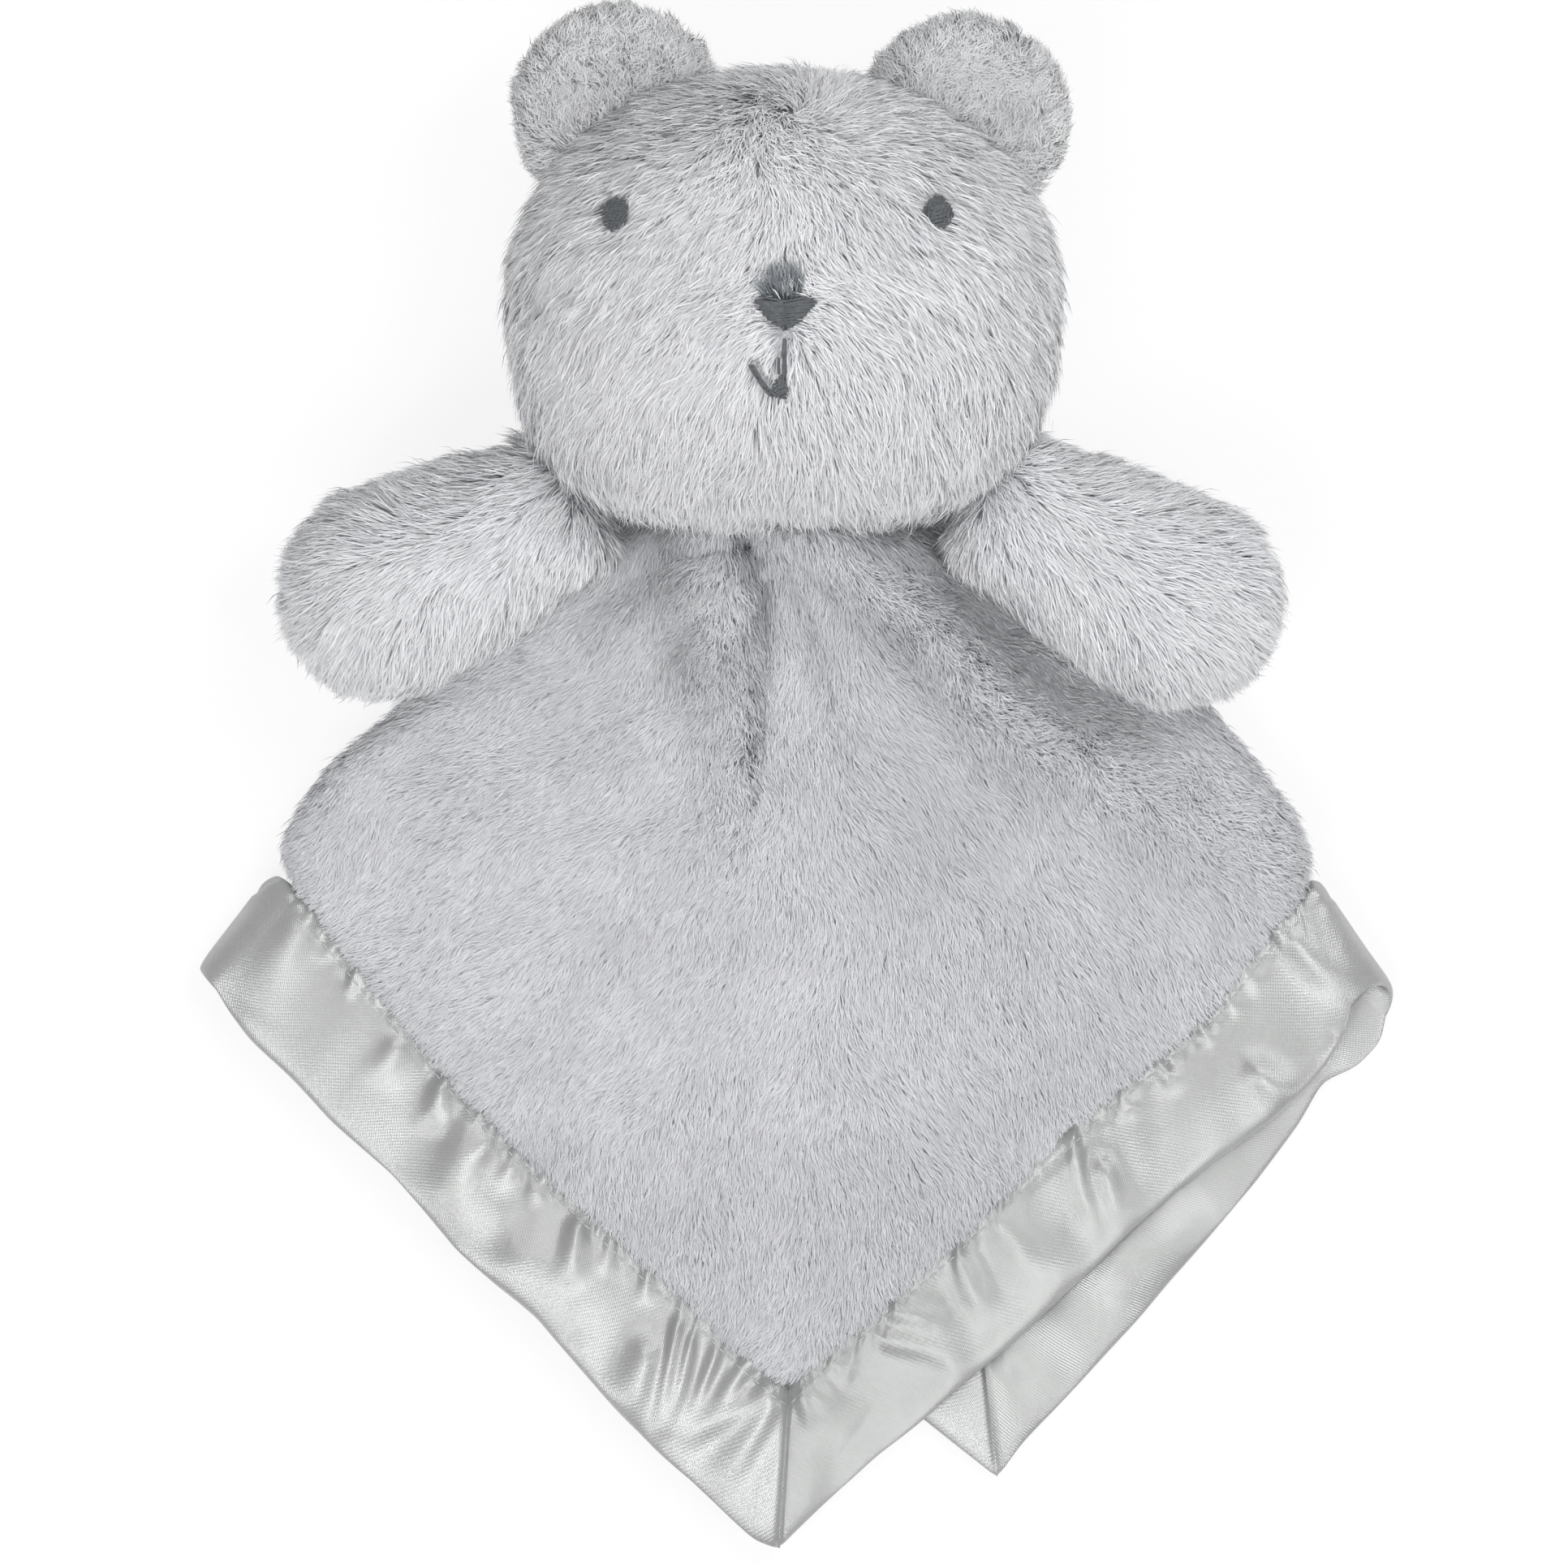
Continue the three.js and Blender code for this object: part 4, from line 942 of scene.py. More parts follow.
def front_belly(plan, share):
    high = front_crown(plan, share)
    return np.where(high > 14.6, np.maximum(12.0, high - 4.5), high - 1.5)


front_outline = np.concatenate([LEFT_SEAM[:-1], RIGHT_SEAM[:-1], RIGHT_FREE[::-1][:-1],
                                NECK_LINE[:-1], LEFT_FREE[:-1]])
BODY_POLE = np.array([0.0, -72.0])
front_edge = far_edge(inside_line(front_outline), BODY_POLE, 190)


spokes = 420
angle = np.linspace(0, 2 * math.pi, spokes, endpoint=False)
rim = front_edge(angle)
rim = (np.roll(rim, 1) + 2 * rim + np.roll(rim, -1)) / 4
share = np.append(np.linspace(0.01, 0.93, 68), 1 - 0.07 * (1 - np.linspace(0, 1, 9)[1:]) ** 1.5)
points, faces = rings_round(BODY_POLE, angle, rim, (
    (front_crown, share), (front_belly, np.append(share[::-1][1:10], share[::-4][3:]))))
body_skin = stuffed("body_plush", (points, faces), spokes, "knit", "blanket",
                    ("blanket_front_plush", "blanket_front_backing"))


def body_nap(at, normals):
    """The nap of the blanket runs out from the neck, brushed a little to and fro."""
    plan = at[:, :2]
    flow = unit(plan - np.array([-2.0, 26.0]))
    turn = 0.42 * soft_noise(plan, 34, 211) + 0.22 * soft_noise(plan, 12, 212)
    turn = turn + 0.15 * smoothstep(70, 118, plan[:, 0]) - 0.15 * smoothstep(-60, -110, plan[:, 0])
    c, s = np.cos(turn), np.sin(turn)
    flat = np.stack([flow[:, 0] * c - flow[:, 1] * s, flow[:, 0] * s + flow[:, 1] * c], axis=1)
    return np.column_stack([flat, np.zeros(len(at))])


def body_pile_grows(at, normals):
    """No pile under the front, where the backing is, and little where the head lies on it."""
    up = at[:, 2] > front_belly(at[:, :2], 0) + 0.9
    pressed = (at[:, 1] > 3) & (np.abs(at[:, 0]) < 50)
    return np.where(up | (normals[:, 2] > 0.2), np.where(pressed, 0.1, 1.0), 0.0)


def body_length(at):
    plan = at[:, :2]
    trimmed = 0.35 * smoothstep(7, 1, seam_gap(plan)) + 0.5 * smoothstep(0, 8, plan[:, 1])
    long = 4.3 + 1.6 * smoothstep(30, 0, np.hypot(*plan.T)) + 0.5 * crest(plan)
    return long * (1 - trimmed)


def crest(plan):
    """How much the pile stands up, where a fold parts it."""
    parted = fold(plan, RIDGE, 1.0, 8, 7, 0.15) + fold(plan, LOBE, 1.0, 7, 7, 0.2)
    return np.clip(parted * smoothstep(-3, -14, plan[:, 1]), 0, 1)


def body_lean(at):
    return 26 + 36 * crest(at[:, :2])


def body_wander(at):
    return 0.4 + 0.9 * crest(at[:, :2])


def body_tone(at):
    """Painted shade along one side of folds and painted light along others; darker towards the
    bottom.
    """
    plan = at[:, :2]
    low = 0.2 * smoothstep(-110, -190, plan[:, 1])
    curls = 0.45 * crest(plan) * soft_noise(plan, 2.6, 233)
    return (folded(plan, PAINTED_LIGHT_FOLDS) - folded(plan, PAINTED_SHADE_FOLDS) - low + curls
            + 0.16 * soft_noise(plan, 38, 231))


body_pile = grow_pile("body_pile", "blanket", (points, faces), body_nap, 8.0, body_length,
                      body_lean, "body", 221, where=body_pile_grows, width=0.27, clump=2.4,
                      gather=0.35, curl=0.35, wander=body_wander, tone=body_tone)


# ---- Satin binding -------------------------------------------------------------------------------


def creased(along, across, creases):
    """Gathers that start at the seam: along, slant, width, rise and reach of each."""
    total = np.zeros_like(along)
    for at, slant, width, rise, reach in creases:
        spread = width * (0.55 + across / reach)
        off = (along - at - slant * across) / spread
        total += rise * np.exp(-off ** 2) * smoothstep(reach * 1.25, reach * 0.25, across)
        total -= rise * 0.55 * np.exp(-(off - 1.7) ** 2) * smoothstep(reach, reach * 0.2, across)
    return total


STITCH_LINE = 6.2


def ribbon(stations, lengths, creases, seed, pucker=1.0, grooves=(), half=1.3, rows=30,
           gathers=(), billows=()):
    """A folded strip of satin as closed padded lengths that meet end to end.

    stations holds, for each place along it, its seam edge, its outer edge and the way it faces.
    lengths names each length, with its last station, its bodies and the solids it stands for.
    gathers are folds of the part that faces up and billows are folds of the part that faces down,
    each with its line in the plan, its rise and how far it spreads on both sides."""
    inner, rim, facing = (np.asarray(part, float) for part in stations)
    across_way = rim - inner
    width = np.linalg.norm(across_way, axis=1)
    across_way = across_way / width[:, None]
    middle = (inner + rim) / 2
    far = np.append(0, np.cumsum(np.linalg.norm(np.diff(middle, axis=0), axis=1)))
    chance = np.random.default_rng(seed)
    fine = [(a, chance.uniform(-0.5, 0.5), chance.uniform(0.7, 1.5),
             pucker * chance.uniform(0.35, 1.0), chance.uniform(4.5, 12))
            for a in np.cumsum(chance.uniform(2.2, 6.5, int(far[-1] / 4.3))) if a < far[-1] - 2]
    share = 0.5 - 0.5 * np.cos(np.linspace(0, math.pi, rows))
    upper, lower = [], []
    for v in share:
        across = v * width
        at = np.column_stack([far, across])
        ripple = creased(far, across, creases) + creased(far, across, fine)
        ripple += 0.4 * soft_noise(at / np.array([1, 1.8]), 9, seed + 1)
        ripple += 1.1 * soft_noise(at, 24, seed + 2)
        flat = (inner + across_way * across[:, None])[:, :2]
        for folds, way in ((gathers, 1), (billows, -1)):
            turned = smoothstep(0.3, 0.9, way * facing[:, 2])
            for line, rise, spread, far_spread in folds:
                ripple += way * turned * fold(flat, line, rise, spread, far_spread, 0.5)
        edge = math.sqrt(max(0.0, 1 - abs(2 * v - 1) ** 9))
        ripple *= edge * (0.3 + 0.7 * smoothstep(0, 2.5, across))
        ripple -= 0.45 * np.exp(-((across - STITCH_LINE) / 0.7) ** 2)
        for groove in grooves:
            ripple -= 1.2 * np.exp(-((far - (groove if groove >= 0 else far[-1])) / 1.1) ** 2)
        plan = inner + across_way * (across + 0.35 * v * np.clip(ripple, -1, 1)
                                     + 0.4 * v * soft_noise(at, 14, seed + 3))[:, None]
        high = half * (0.25 + 0.75 * edge) + 1.1 * math.sin(v * math.pi) ** 0.6 + ripple
        low = half * (0.25 + 0.75 * edge) - 0.7 * np.clip(ripple, -3, 3) * edge
        upper.append(plan + facing * np.maximum(high, 0.2 - half * 0.5)[:, None])
        lower.append(plan - facing * low[:, None])
    around = np.array(upper + lower[::-1])
    around[:, :, 2] = np.maximum(around[:, :, 2], LOWEST)
    shade = corner_normals(around.reshape(-1, 3), grid_faces(len(far), 2 * rows, closed_rows=True))
    shade = shade.reshape(around.shape)
    inward = np.dot(np.cross(middle[1] - middle[0], across_way[0]), facing[0]) < 0
    first = 0
    for name, last, bodies, nodes in lengths:
        part = slice(first, last + 1)
        columns = last + 1 - first
        quads = strip_faces(columns, rows)
        uv = np.concatenate([np.column_stack([far[part] / 10, np.full(columns, v * 3.1)])
                             for v in np.append(share, share[::-1])])
        piece = add_piece(name, around[:, part].reshape(-1, 3), quads[:, ::-1] if inward else quads,
                          "satin", uv, shade[:, part].reshape(-1, 3) * (-1 if inward else 1))
        if len(bodies) > 1:
            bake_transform(piece)
        else:
            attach(piece, *bodies)
        if nodes:
            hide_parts(*nodes)
        first = last
    return around[:rows]


def level(line, count, high):
    """Points on a line of the plan at one height, or at a height for each point."""
    plan = along_line(line, count)
    return np.column_stack([plan, np.broadcast_to(high, count)])


def folded_under(front, wing, steps=26):
    """Stations of a strip on the front that turns over its end and goes on along the wing."""
    (front_inner, front_outer), (wing_inner, wing_outer) = front, wing
    up = np.array([0, 0, 1.0])
    ends = [(front_inner[-1], wing_inner[0]), (front_outer[-1], wing_outer[0])]
    out = unit((front_inner[-1] - front_inner[-8] + front_outer[-1] - front_outer[-8])
               * np.array([1, 1, 0]))
    turn = np.linspace(0, math.pi, steps)[1:-1]
    edges = []
    for a, b in ends:
        middle, half = (a + b) / 2, (a - b) / 2
        reach = np.linalg.norm(half) * 1.15
        edges.append(middle + np.cos(turn)[:, None] * half + np.sin(turn)[:, None] * reach * out)
    facing = np.cos(turn)[:, None] * up + np.sin(turn)[:, None] * out
    inner = np.concatenate([front_inner, edges[0], wing_inner])
    outer = np.concatenate([front_outer, edges[1], wing_outer])
    ways = np.concatenate([np.tile(up, (len(front_inner), 1)), facing,
                           np.tile(-up, (len(wing_inner), 1))])
    return inner, outer, ways


LEFT_OUTER = traced((262, 1222), (276, 1245), (305, 1280), (346, 1320), (405, 1382), (481, 1449),
                    (560, 1543), (612, 1590), (661, 1629), (740, 1719), (775, 1760), (805, 1790),
                    (850, 1826), (897, 1872), (930, 1903), (961, 1915))
RIGHT_OUTER = traced((959, 1915), (980, 1894), (1030, 1846), (1082, 1798), (1140, 1752),
                     (1203, 1697), (1264, 1644), (1324, 1588), (1400, 1516), (1457, 1465),
                     (1517, 1422), (1570, 1382), (1606, 1350), (1636, 1314), (1656, 1282),
                     (1665, 1258), (1668, 1240))
LEFT_TUCK = np.append(traced((366, 1100)), LEFT_SEAM[1:-1] + [1.6, 1.9], axis=0)
RIGHT_TUCK = np.append(RIGHT_SEAM[1:-1] + [-1.6, 1.9], traced((1604, 1104)), axis=0)
left_inner = np.append(LEFT_TUCK, traced((974, 1700)), axis=0)
right_inner = np.append(traced((973, 1700)), RIGHT_TUCK, axis=0)


def gathers_at(*folds):
    """Folds of satin: each has its line, its rise and how far it spreads on both sides."""
    return [(traced(*line), *sizes) for line, *sizes in folds]


LEFT_GATHERS = gathers_at(
    (((833, 1637), (822, 1700), (806, 1786)), 2.2, 1.9, 1.4),
    (((851, 1654), (838, 1720), (816, 1776)), 2.0, 1.6, 1.4),
    (((882, 1668), (860, 1724), (826, 1776)), 1.8, 1.6, 1.4),
    (((924, 1677), (886, 1728), (834, 1776)), 2.1, 2.2, 1.6),
    (((947, 1712), (892, 1750), (822, 1788)), 2.0, 2.4, 1.8),
    (((952, 1732), (915, 1790), (877, 1850)), 2.2, 2.6, 3.2),
    (((796, 1672), (784, 1712), (762, 1760)), 2.6, 3.6, 4.4),
    (((711, 1512), (706, 1545), (700, 1590)), 2.6, 2.6, 2.4),
    (((752, 1532), (746, 1573)), 1.6, 1.8, 1.8), (((798, 1572), (793, 1610)), 1.4, 1.6, 1.6),
    (((542, 1342), (528, 1402)), 2.6, 3.2, 2.6), (((609, 1388), (586, 1441)), 1.7, 2.2, 2.0),
    (((580, 1392), (557, 1462), (572, 1536)), 2.8, 6.0, 5.0),
    (((638, 1424), (612, 1472)), 1.6, 2.0, 2.0), (((668, 1452), (650, 1490)), 1.2, 1.8, 1.8),
    (((377, 1125), (348, 1171), (305, 1238)), 2.8, 4.6, 5.2),
    (((446, 1189), (429, 1232)), 1.6, 2.6, 2.4), (((487, 1290), (462, 1338)), 1.6, 3.2, 3.0),
    (((410, 1160), (398, 1190)), 1.2, 1.8, 1.8), (((640, 1560), (690, 1650)), 1.4, 7.0, 6.0))
RIGHT_GATHERS = gathers_at(
    (((999, 1716), (1030, 1742), (1062, 1764)), 2.4, 3.4, 4.0),
    (((986, 1724), (999, 1766)), 1.7, 1.6, 1.4), (((1028, 1680), (1056, 1706)), 1.6, 2.0, 2.0),
    (((1104, 1620), (1152, 1631), (1194, 1668)), 2.4, 3.0, 2.4),
    (((1095, 1654), (1146, 1665), (1204, 1698)), 2.2, 2.4, 2.2),
    (((1183, 1552), (1197, 1592), (1233, 1630)), 2.4, 3.0, 2.6),
    (((1225, 1498), (1264, 1552), (1325, 1585)), 2.8, 5.5, 4.6),
    (((1324, 1402), (1332, 1462), (1357, 1534)), 2.4, 1.9, 2.3),
    (((1363, 1442), (1377, 1485), (1415, 1510)), 2.3, 3.0, 3.4),
    (((1387, 1351), (1396, 1378)), 1.8, 2.0, 2.0), (((1430, 1318), (1458, 1342)), 1.8, 2.0, 2.2),
    (((1477, 1262), (1497, 1283)), 1.6, 1.8, 1.8), (((1512, 1228), (1530, 1250)), 1.4, 1.8, 1.8),
    (((1533, 1188), (1551, 1226)), 1.7, 2.4, 2.2),
    (((1578, 1139), (1625, 1191), (1674, 1222)), 2.4, 3.4, 3.0),
    (((1556, 1325), (1590, 1350), (1630, 1360)), 2.2, 4.2, 3.6),
    (((1655, 1285), (1637, 1342)), 1.8, 3.0, 2.6))
RIGHT_BILLOWS = gathers_at(
    (((1236, 1700), (1256, 1760), (1250, 1800)), 2.2, 4.5, 5.5),
    (((1392, 1570), (1440, 1530), (1500, 1490)), 2.6, 9.0, 7.0),
    (((1310, 1640), (1360, 1660), (1400, 1650)), 1.8, 6.0, 6.0))
GATHERS = {"left": (LEFT_GATHERS, ()), "right": (RIGHT_GATHERS, RIGHT_BILLOWS)}


# A strip runs from the mitre on the front corner up its side, round the fold and along the wing.
fine_columns = 380
wing_columns = 150
droop = np.exp(-np.linspace(0, 1, fine_columns) / 0.22)


def on_front(inner, outer):
    return level(inner, fine_columns, 12.3), level(outer, fine_columns, 11.9 - 2.8 * droop)


def on_wing(inner, outer):
    return level(inner, wing_columns, 2.9), level(outer, wing_columns, 2.7)


left_front = on_front(left_inner[::-1], LEFT_OUTER[::-1])
left_wing = on_wing([(-121.8, -90.6), (-26.2, -168.9)], [(-140.0, -111.6), (-22.4, -208.4)])
right_front = on_front(right_inner, RIGHT_OUTER)
right_wing = on_wing([(123.4, -98.6), (48.2, -194.2)],
                     [(148.6, -120.0), (147.4, -126.0), (141.5, -132.4), (133.0, -136.2),
                      (127.6, -146.0), (117.0, -160.4), (99.8, -180.9), (66.4, -217.9),
                      (58.6, -225.6), (52.9, -233.4)])
RESTS = {"left": (left_front, left_wing), "right": (right_front, right_wing)}
satin_tops = {}
for word, seed in (("left", 301), ("right", 311)):
    stations = folded_under(*RESTS[word])
    wing_body, end = f"wing_{word}", len(stations[0])
    lengths = ((f"satin_binding_{word}", fine_columns - 1, ["blanket"], [f"satin_front_{word}"]),
               (f"satin_turn_{word}", end - wing_columns, ["blanket", wing_body], []),
               (f"{wing_body}_satin", end - 1, [wing_body], [f"{wing_body}_satin_front"]))
    gathers, billows = GATHERS[word]
    top = ribbon(stations, lengths, (), seed, pucker=0.8, grooves=(0, -1), gathers=gathers,
                 billows=billows)
    satin_tops[word] = top[:, :fine_columns]


def seam_stitches(name, top, body, step=3.1):
    """Machine stitches along a strip, a little in from its seam edge."""
    across = np.linalg.norm((top - top[0])[:, :, :2], axis=2).mean(1)
    line = np.array([[np.interp(STITCH_LINE, across, column[:, k]) for k in range(3)]
                     for column in top.transpose(1, 0, 2)])
    far = np.append(0, np.cumsum(np.linalg.norm(np.diff(line, axis=0), axis=1)))
    starts = np.arange(1.5, far[-1] - 4, step)
    pick = [np.stack([np.interp(starts + more, far, line[:, k]) for k in range(3)], axis=1)
            for more in (0.0, 2.3)]
    rope = []
    sides = np.array([[-1, 0], [0, 1], [1, 0], [0, -0.6]])
    along = unit(pick[1] - pick[0])
    flat = unit(np.cross(along, [0, 0, 1.0]))
    for share, thin in ((0, 0.35), (0.25, 1), (0.75, 1), (1, 0.35)):
        middle = pick[0] + (pick[1] - pick[0]) * share
        middle[:, 2] += 0.22 * (thin - 0.5)
        rope += [middle + flat * (0.24 * thin * a) + np.array([0, 0, 0.2 * thin * b])
                 for a, b in sides]
    points = np.stack(rope, axis=1)
    one = grid_faces(4, 4, closed_columns=True)
    faces = (one[None] + 16 * np.arange(len(starts))[:, None, None]).reshape(-1, 4)
    add_piece(name, points.reshape(-1, 3), faces, "thread", body=body)


for word in ("left", "right"):
    seam_stitches(f"seam_stitches_{word}", satin_tops[word], "blanket")


# ---- Pieces that keep the form of their solid ----------------------------------------------------


def softened(name, node, finish, body, step=5.0, lump=0.35, seed=401, low=None):
    """A cloth or stuffed piece from its own solid: finer, a little slack and without hard edges."""
    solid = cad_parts[node].data
    work = bmesh.new()
    work.from_mesh(solid)
    bmesh.ops.remove_doubles(work, verts=work.verts, dist=0.02 * MM)
    bmesh.ops.triangulate(work, faces=work.faces)
    for _ in range(7):
        long = [edge for edge in work.edges if edge.calc_length() > step * MM]
        if not long:
            break
        bmesh.ops.subdivide_edges(work, edges=long, cuts=1)
        bmesh.ops.triangulate(work, faces=[f for f in work.faces if len(f.verts) > 3])
    bmesh.ops.smooth_vert(work, verts=work.verts, factor=0.5, use_axis_x=True, use_axis_y=True,
                          use_axis_z=False)
    work.normal_update()
    at = np.array([vert.co for vert in work.verts]) / MM
    push = -0.4 * lump + 0.6 * lump * soft_noise(at, 16, seed)
    for vert, much in zip(work.verts, push):
        vert.co = vert.co + vert.normal * float(much) * MM
        if low is not None:
            vert.co.z = max(vert.co.z, low * MM)
    mesh = bpy.data.meshes.new(name)
    work.to_mesh(mesh)
    work.free()
    smooth(mesh)
    layer = mesh.uv_layers.new(name=UV_NAME)
    corner = np.empty(len(mesh.loops), np.int32)
    mesh.loops.foreach_get("vertex_index", corner)
    place = np.array([vert.co for vert in mesh.vertices])[corner]
    turned = np.stack([place @ [70.7, 70.7, 0], place @ [-70.7, 70.7, 0]], axis=1)
    layer.data.foreach_set("uv", turned.astype(np.float32).ravel())
    return placed(name, mesh, finish, body, (node,))


def as_ground(piece):
    """Points and faces of a piece, in millimetres from the neck seam."""
    at = np.array([vert.co for vert in piece.data.vertices])
    return (at - neck_seam) / MM, np.array([list(face.vertices) for face in piece.data.polygons])


# ---- Back corner, wings and neck -----------------------------------------------------------------


def lay_down(at, normals):
    return np.column_stack([unit(at[:, :2] - np.array((0.0, 26.0))), np.zeros(len(at))])


def underside(at, normals):
    return np.where(normals[:, 2] < -0.5, 1.0, 0.0)


def hidden_corner(name, words, node, body, size, rests_on, low, growth, seed, **look):
    """A corner of the blanket that lies underneath: its cloth with pile below, and its lining."""
    cloth = softened(f"{name}_{words[0]}", f"{node}_plush", "knit", body, low=low)
    pile = grow_pile(f"{name}_pile", body, as_ground(cloth), lay_down, *growth, "body", seed,
                     where=underside, **look)
    lining = softened(f"{name}_{words[1]}", f"{node}_backing", "backing", body)


def strip_below(name, body, node, seam_line, outer_line, columns, high, creases, seed, **look):
    """A strip of satin that faces down; high holds the heights of its seam and outer edge."""
    stations = (level(seam_line, columns, high[0]), level(outer_line, columns, high[1]),
                np.tile([0, 0, -1.0], (columns, 1)))
    ribbon(stations, [(name, columns - 1, [body], [node])], creases, seed, grooves=(0,), **look)


hidden_corner("back_corner", ("plush", "backing"), "blanket_back", "blanket", (0.22, 0.175),
              "wing_left_cloth", 7.4, (1.6, 5.0, 14), 421, width=0.4, gather=0.2, clump=3.0)
for word, side in (("left", -1), ("right", 1)):
    strip_below(f"satin_back_corner_{word}", "blanket", f"satin_back_{word}",
                [(side * 0.3, -196.4), (side * 106, -90.6)],
                [(side * 0.3, -236.2), (side * 126, -110.6)], 150, (8.3, 8.1),
                [(12 * k + 5, 0.2, 2.2, 0.7, 22) for k in range(14)], 431 + side, pucker=0.6,
                half=0.9, rows=16)

for word, seed in (("left", 441), ("right", 451)):
    body = f"wing_{word}"
    hidden_corner(body, ("cloth", "lining"), body, body, (0.165, 0.125), "floor", 2.0,
                  (4.2, 4.6, 13), seed, width=0.34, gather=0.3, clump=2.8, wander=0.4)

WING_ENDS = {"left": ([(-26.4, -169.3), (-23.7, -165.8)], [(-22.6, -209.0), (-1.7, -183.7)]),
             "right": ([(48.4, -194.4), (19.4, -170.9)], [(53.0, -234.2), (1.7, -193.3)])}
for word, ends in WING_ENDS.items():
    strip_below(f"wing_{word}_satin_end", f"wing_{word}", f"wing_{word}_satin_back", *ends, 110,
                (2.8, 2.6), [(9 * k + 6, 0.3, 2.4, 0.9, 24) for k in range(6)], 481, pucker=0.7,
                rows=20)

# The fold of the plush at each side, which turns from the front down to the wing
for word, line, seed in (("left", LEFT_FREE, 461), ("right", RIGHT_FREE[::-1], 471)):
    columns, steps = ((110, 14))
    edge = along_line(line, columns)
    run = np.gradient(edge, axis=0)
    out = unit(np.stack([run[:, 1], -run[:, 0]], axis=1))
    inward = np.sign(((BODY_POLE - edge) * out).sum(1))[:, None] * out
    rows = []
    for ply, thick in ((0, 0.0), (1, 1.1)):
        turn = np.linspace(0.0, math.pi * 0.5, steps)
        for angle in (turn if ply == 0 else turn[::-1]):
            inset = 1.2 + thick + (5.4 - thick) * (1 - math.cos(angle))
            high = 9.0 - (6.4 - thick) * math.sin(angle)
            rows.append(np.column_stack([edge + inward * inset, np.full(columns, high)]))
    points = np.concatenate(rows)
    faces = strip_faces(columns, steps)
    if np.mean((corner_normals(points, faces)[:columns * 2, :2] * np.tile(inward, (2, 1)))) > 0:
        faces = faces[:, ::-1]
    fold_piece = add_piece(f"fold_{word}", points, faces, "knit")
    fold_pile = grow_pile(f"fold_{word}_pile", None, (points, faces),
                          lambda p, n: np.column_stack([p[:, :2] * 0.01, -np.ones(len(p))]),
                          4.6, 4.6, 22, "body", seed, width=0.32, gather=0.3, clump=2.8,
                          where=lambda p, n: np.where(n[:, 2] < 0.3, 1.0, 0.0))
    for piece in [fold_piece] + fold_pile:
        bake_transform(piece)

gather_piece = softened("neck_gathers", "neck_gather", "knit", "blanket", step=1.6, lump=0.5)
under_plush = body_height(as_ground(gather_piece)[0][:, :2]) - 1.5
for vert, high in zip(gather_piece.data.vertices, under_plush):
    vert.co.z = min(vert.co.z, high * MM)
stem_piece = softened("neck_core", "neck_stem", "backing", "neck", step=1.6, lump=0.5)

turns = np.linspace(0, 2 * math.pi * 5, 300)
tie_low, tie_high = box_of("neck_tie")
tie_middle = (tie_low + tie_high) / 2
radius = (tie_high[0] - tie_low[0]) / 2 - 0.35
rope_line = np.stack([tie_middle[0] + radius * np.cos(turns),
                      tie_middle[1] + np.linspace(-0.75, 0.75, 300) + 0.08 * np.sin(turns * 3),
                      tie_middle[2] + radius * np.sin(turns)], axis=1)
round_it = np.linspace(0, 2 * math.pi, 7)[:-1]
outward = unit(rope_line - tie_middle * [1, 0, 1] - rope_line * [0, 1, 0])
rope = np.stack([rope_line + 0.2 * (np.cos(a) * outward + np.sin(a) * np.array([0, 1.0, 0]))
                 for a in round_it], axis=1)
add_piece("neck_thread", rope.reshape(-1, 3), grid_faces(6, 300, closed_columns=True), "thread",
          body="neck", nodes=("neck_tie",))


# ---- Studio -------------------------------------------------------------------------------------

scene = bpy.context.scene
scene.view_settings.view_transform = "Standard"
world = bpy.data.worlds.new("studio")
scene.world = world
world.use_nodes = True
tree = world.node_tree
background = tree.nodes["Background"]
background.inputs["Color"].default_value = (1, 1, 1, 1)
seen = tree.nodes.new("ShaderNodeLightPath")
strength = tree.nodes.new("ShaderNodeMapRange")
strength.inputs["To Min"].default_value = 0.45
strength.inputs["To Max"].default_value = 1.0
tree.links.new(seen.outputs["Is Camera Ray"], strength.inputs["Value"])
tree.links.new(strength.outputs["Result"], background.inputs["Strength"])

FLOOR_HALF, FLOOR_LEVEL = 3.0, -0.0012
floor_mesh = bpy.data.meshes.new("floor")
floor_mesh.from_pydata([(x * FLOOR_HALF, y * FLOOR_HALF, FLOOR_LEVEL)
                        for x, y in ((-1, -1), (1, -1), (1, 1), (-1, 1))], [], [(0, 1, 2, 3)])
floor = bpy.data.objects.new("floor", floor_mesh)
scene.collection.objects.link(floor)
paper = bpy.data.materials.new("paper")
paper.use_nodes = True
tree = paper.node_tree
sheet = tree.nodes["Principled BSDF"]
sheet.inputs["Base Color"].default_value = (0.93, 0.93, 0.93, 1)
sheet.inputs["Roughness"].default_value = 0.9
glow = tree.nodes.new("ShaderNodeEmission")
glow.inputs["Strength"].default_value = 1.0
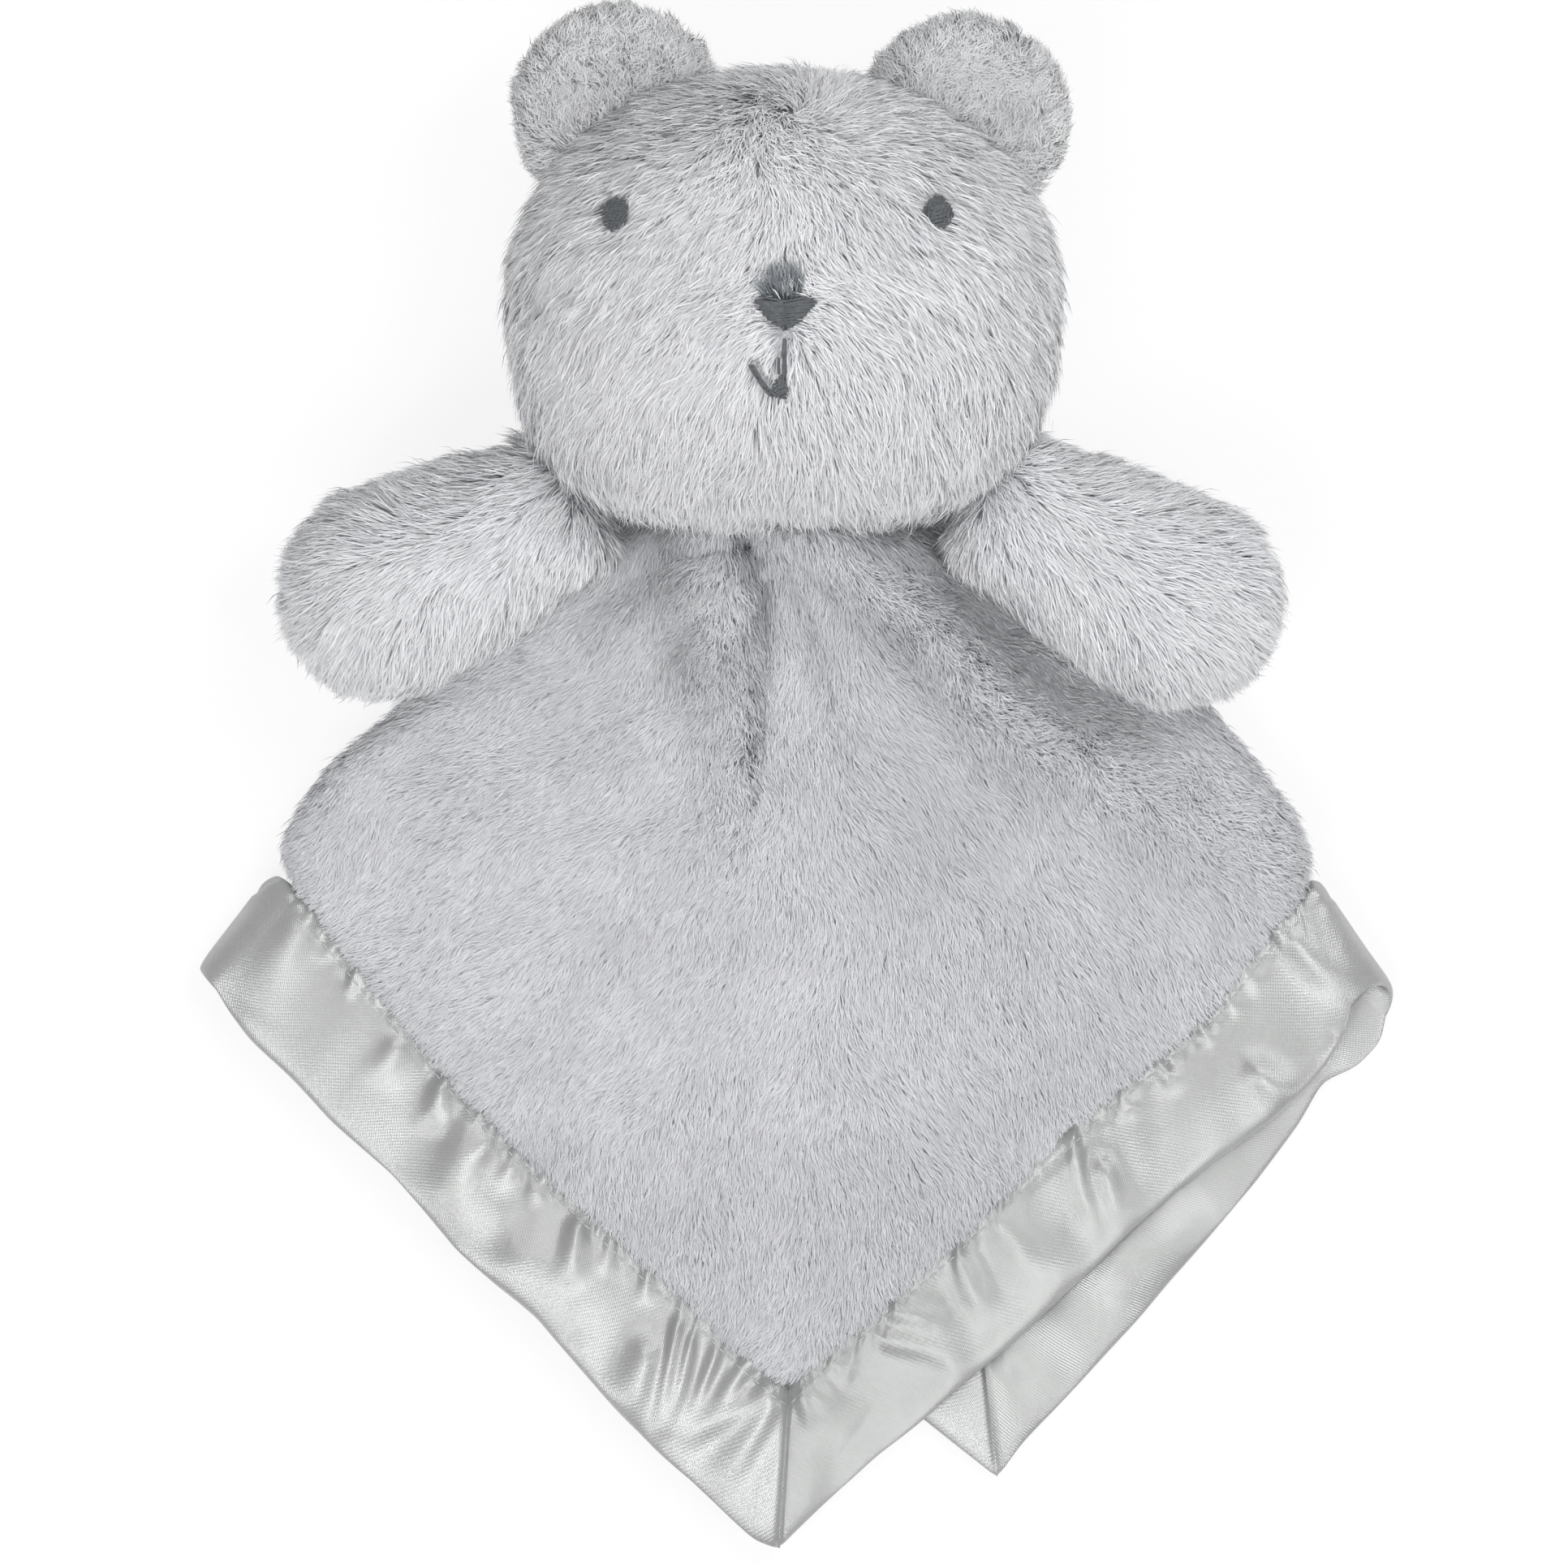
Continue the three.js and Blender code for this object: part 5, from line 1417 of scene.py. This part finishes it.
path = tree.nodes.new("ShaderNodeLightPath")
part = tree.nodes.new("ShaderNodeMath")
part.operation = "MULTIPLY"
part.inputs[1].default_value = 0.86
blend = tree.nodes.new("ShaderNodeMixShader")
for start, end in ((path.outputs["Is Camera Ray"], part.inputs[0]),
                   (part.outputs[0], blend.inputs[0]), (sheet.outputs[0], blend.inputs[1]),
                   (glow.outputs[0], blend.inputs[2]),
                   (blend.outputs[0], tree.nodes["Material Output"].inputs[0])):
    tree.links.new(start, end)
floor_mesh.materials.append(paper)
floor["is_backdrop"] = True


def softbox(name, place, aim, size, watts):
    light = bpy.data.lights.new(name, "AREA")
    light.shape = "RECTANGLE"
    light.size, light.size_y = size
    light.energy = watts
    lamp = bpy.data.objects.new(name, light)
    lamp.location = place
    lamp.rotation_euler = (Vector(aim) - Vector(place)).to_track_quat("-Z", "Y").to_euler()
    scene.collection.objects.link(lamp)


HEAD_AIM, EDGE_AIM = (0, 0.03, 0.03), (0, -0.05, 0.03)
softbox("key", (-0.42, -0.8, 1.3), HEAD_AIM, (0.8, 0.8), 6.7)
softbox("fill", (0.5, 0.75, 1.3), HEAD_AIM, (0.8, 0.8), 6.4)
softbox("upper_strip", (0.5, 0.42, 1.15), EDGE_AIM, (0.16, 0.9), 2.8)
softbox("lower_strip", (-0.5, -0.5, 1.15), EDGE_AIM, (0.16, 0.9), 3.0)
softbox("right_strip", (0.68, -0.45, 1.1), EDGE_AIM, (0.2, 0.8), 3.4)


# The camera looks straight down on the toy from far away
far_off = 2.6
scale_level = 0.025
across_view = PHOTO_SIDE * PIXEL * MM
camera_data = bpy.data.cameras.new("camera")
camera_data.sensor_width = 36
camera_data.lens = 36 * far_off / across_view
camera = bpy.data.objects.new("camera", camera_data)
centre = in_frame([*traced((PHOTO_SIDE / 2, PHOTO_SIDE / 2))[0], 0])
camera.location = (centre[0], centre[1], scale_level + far_off)
scene.collection.objects.link(camera)
scene.camera = camera

bpy.context.view_layer.update()
low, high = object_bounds()
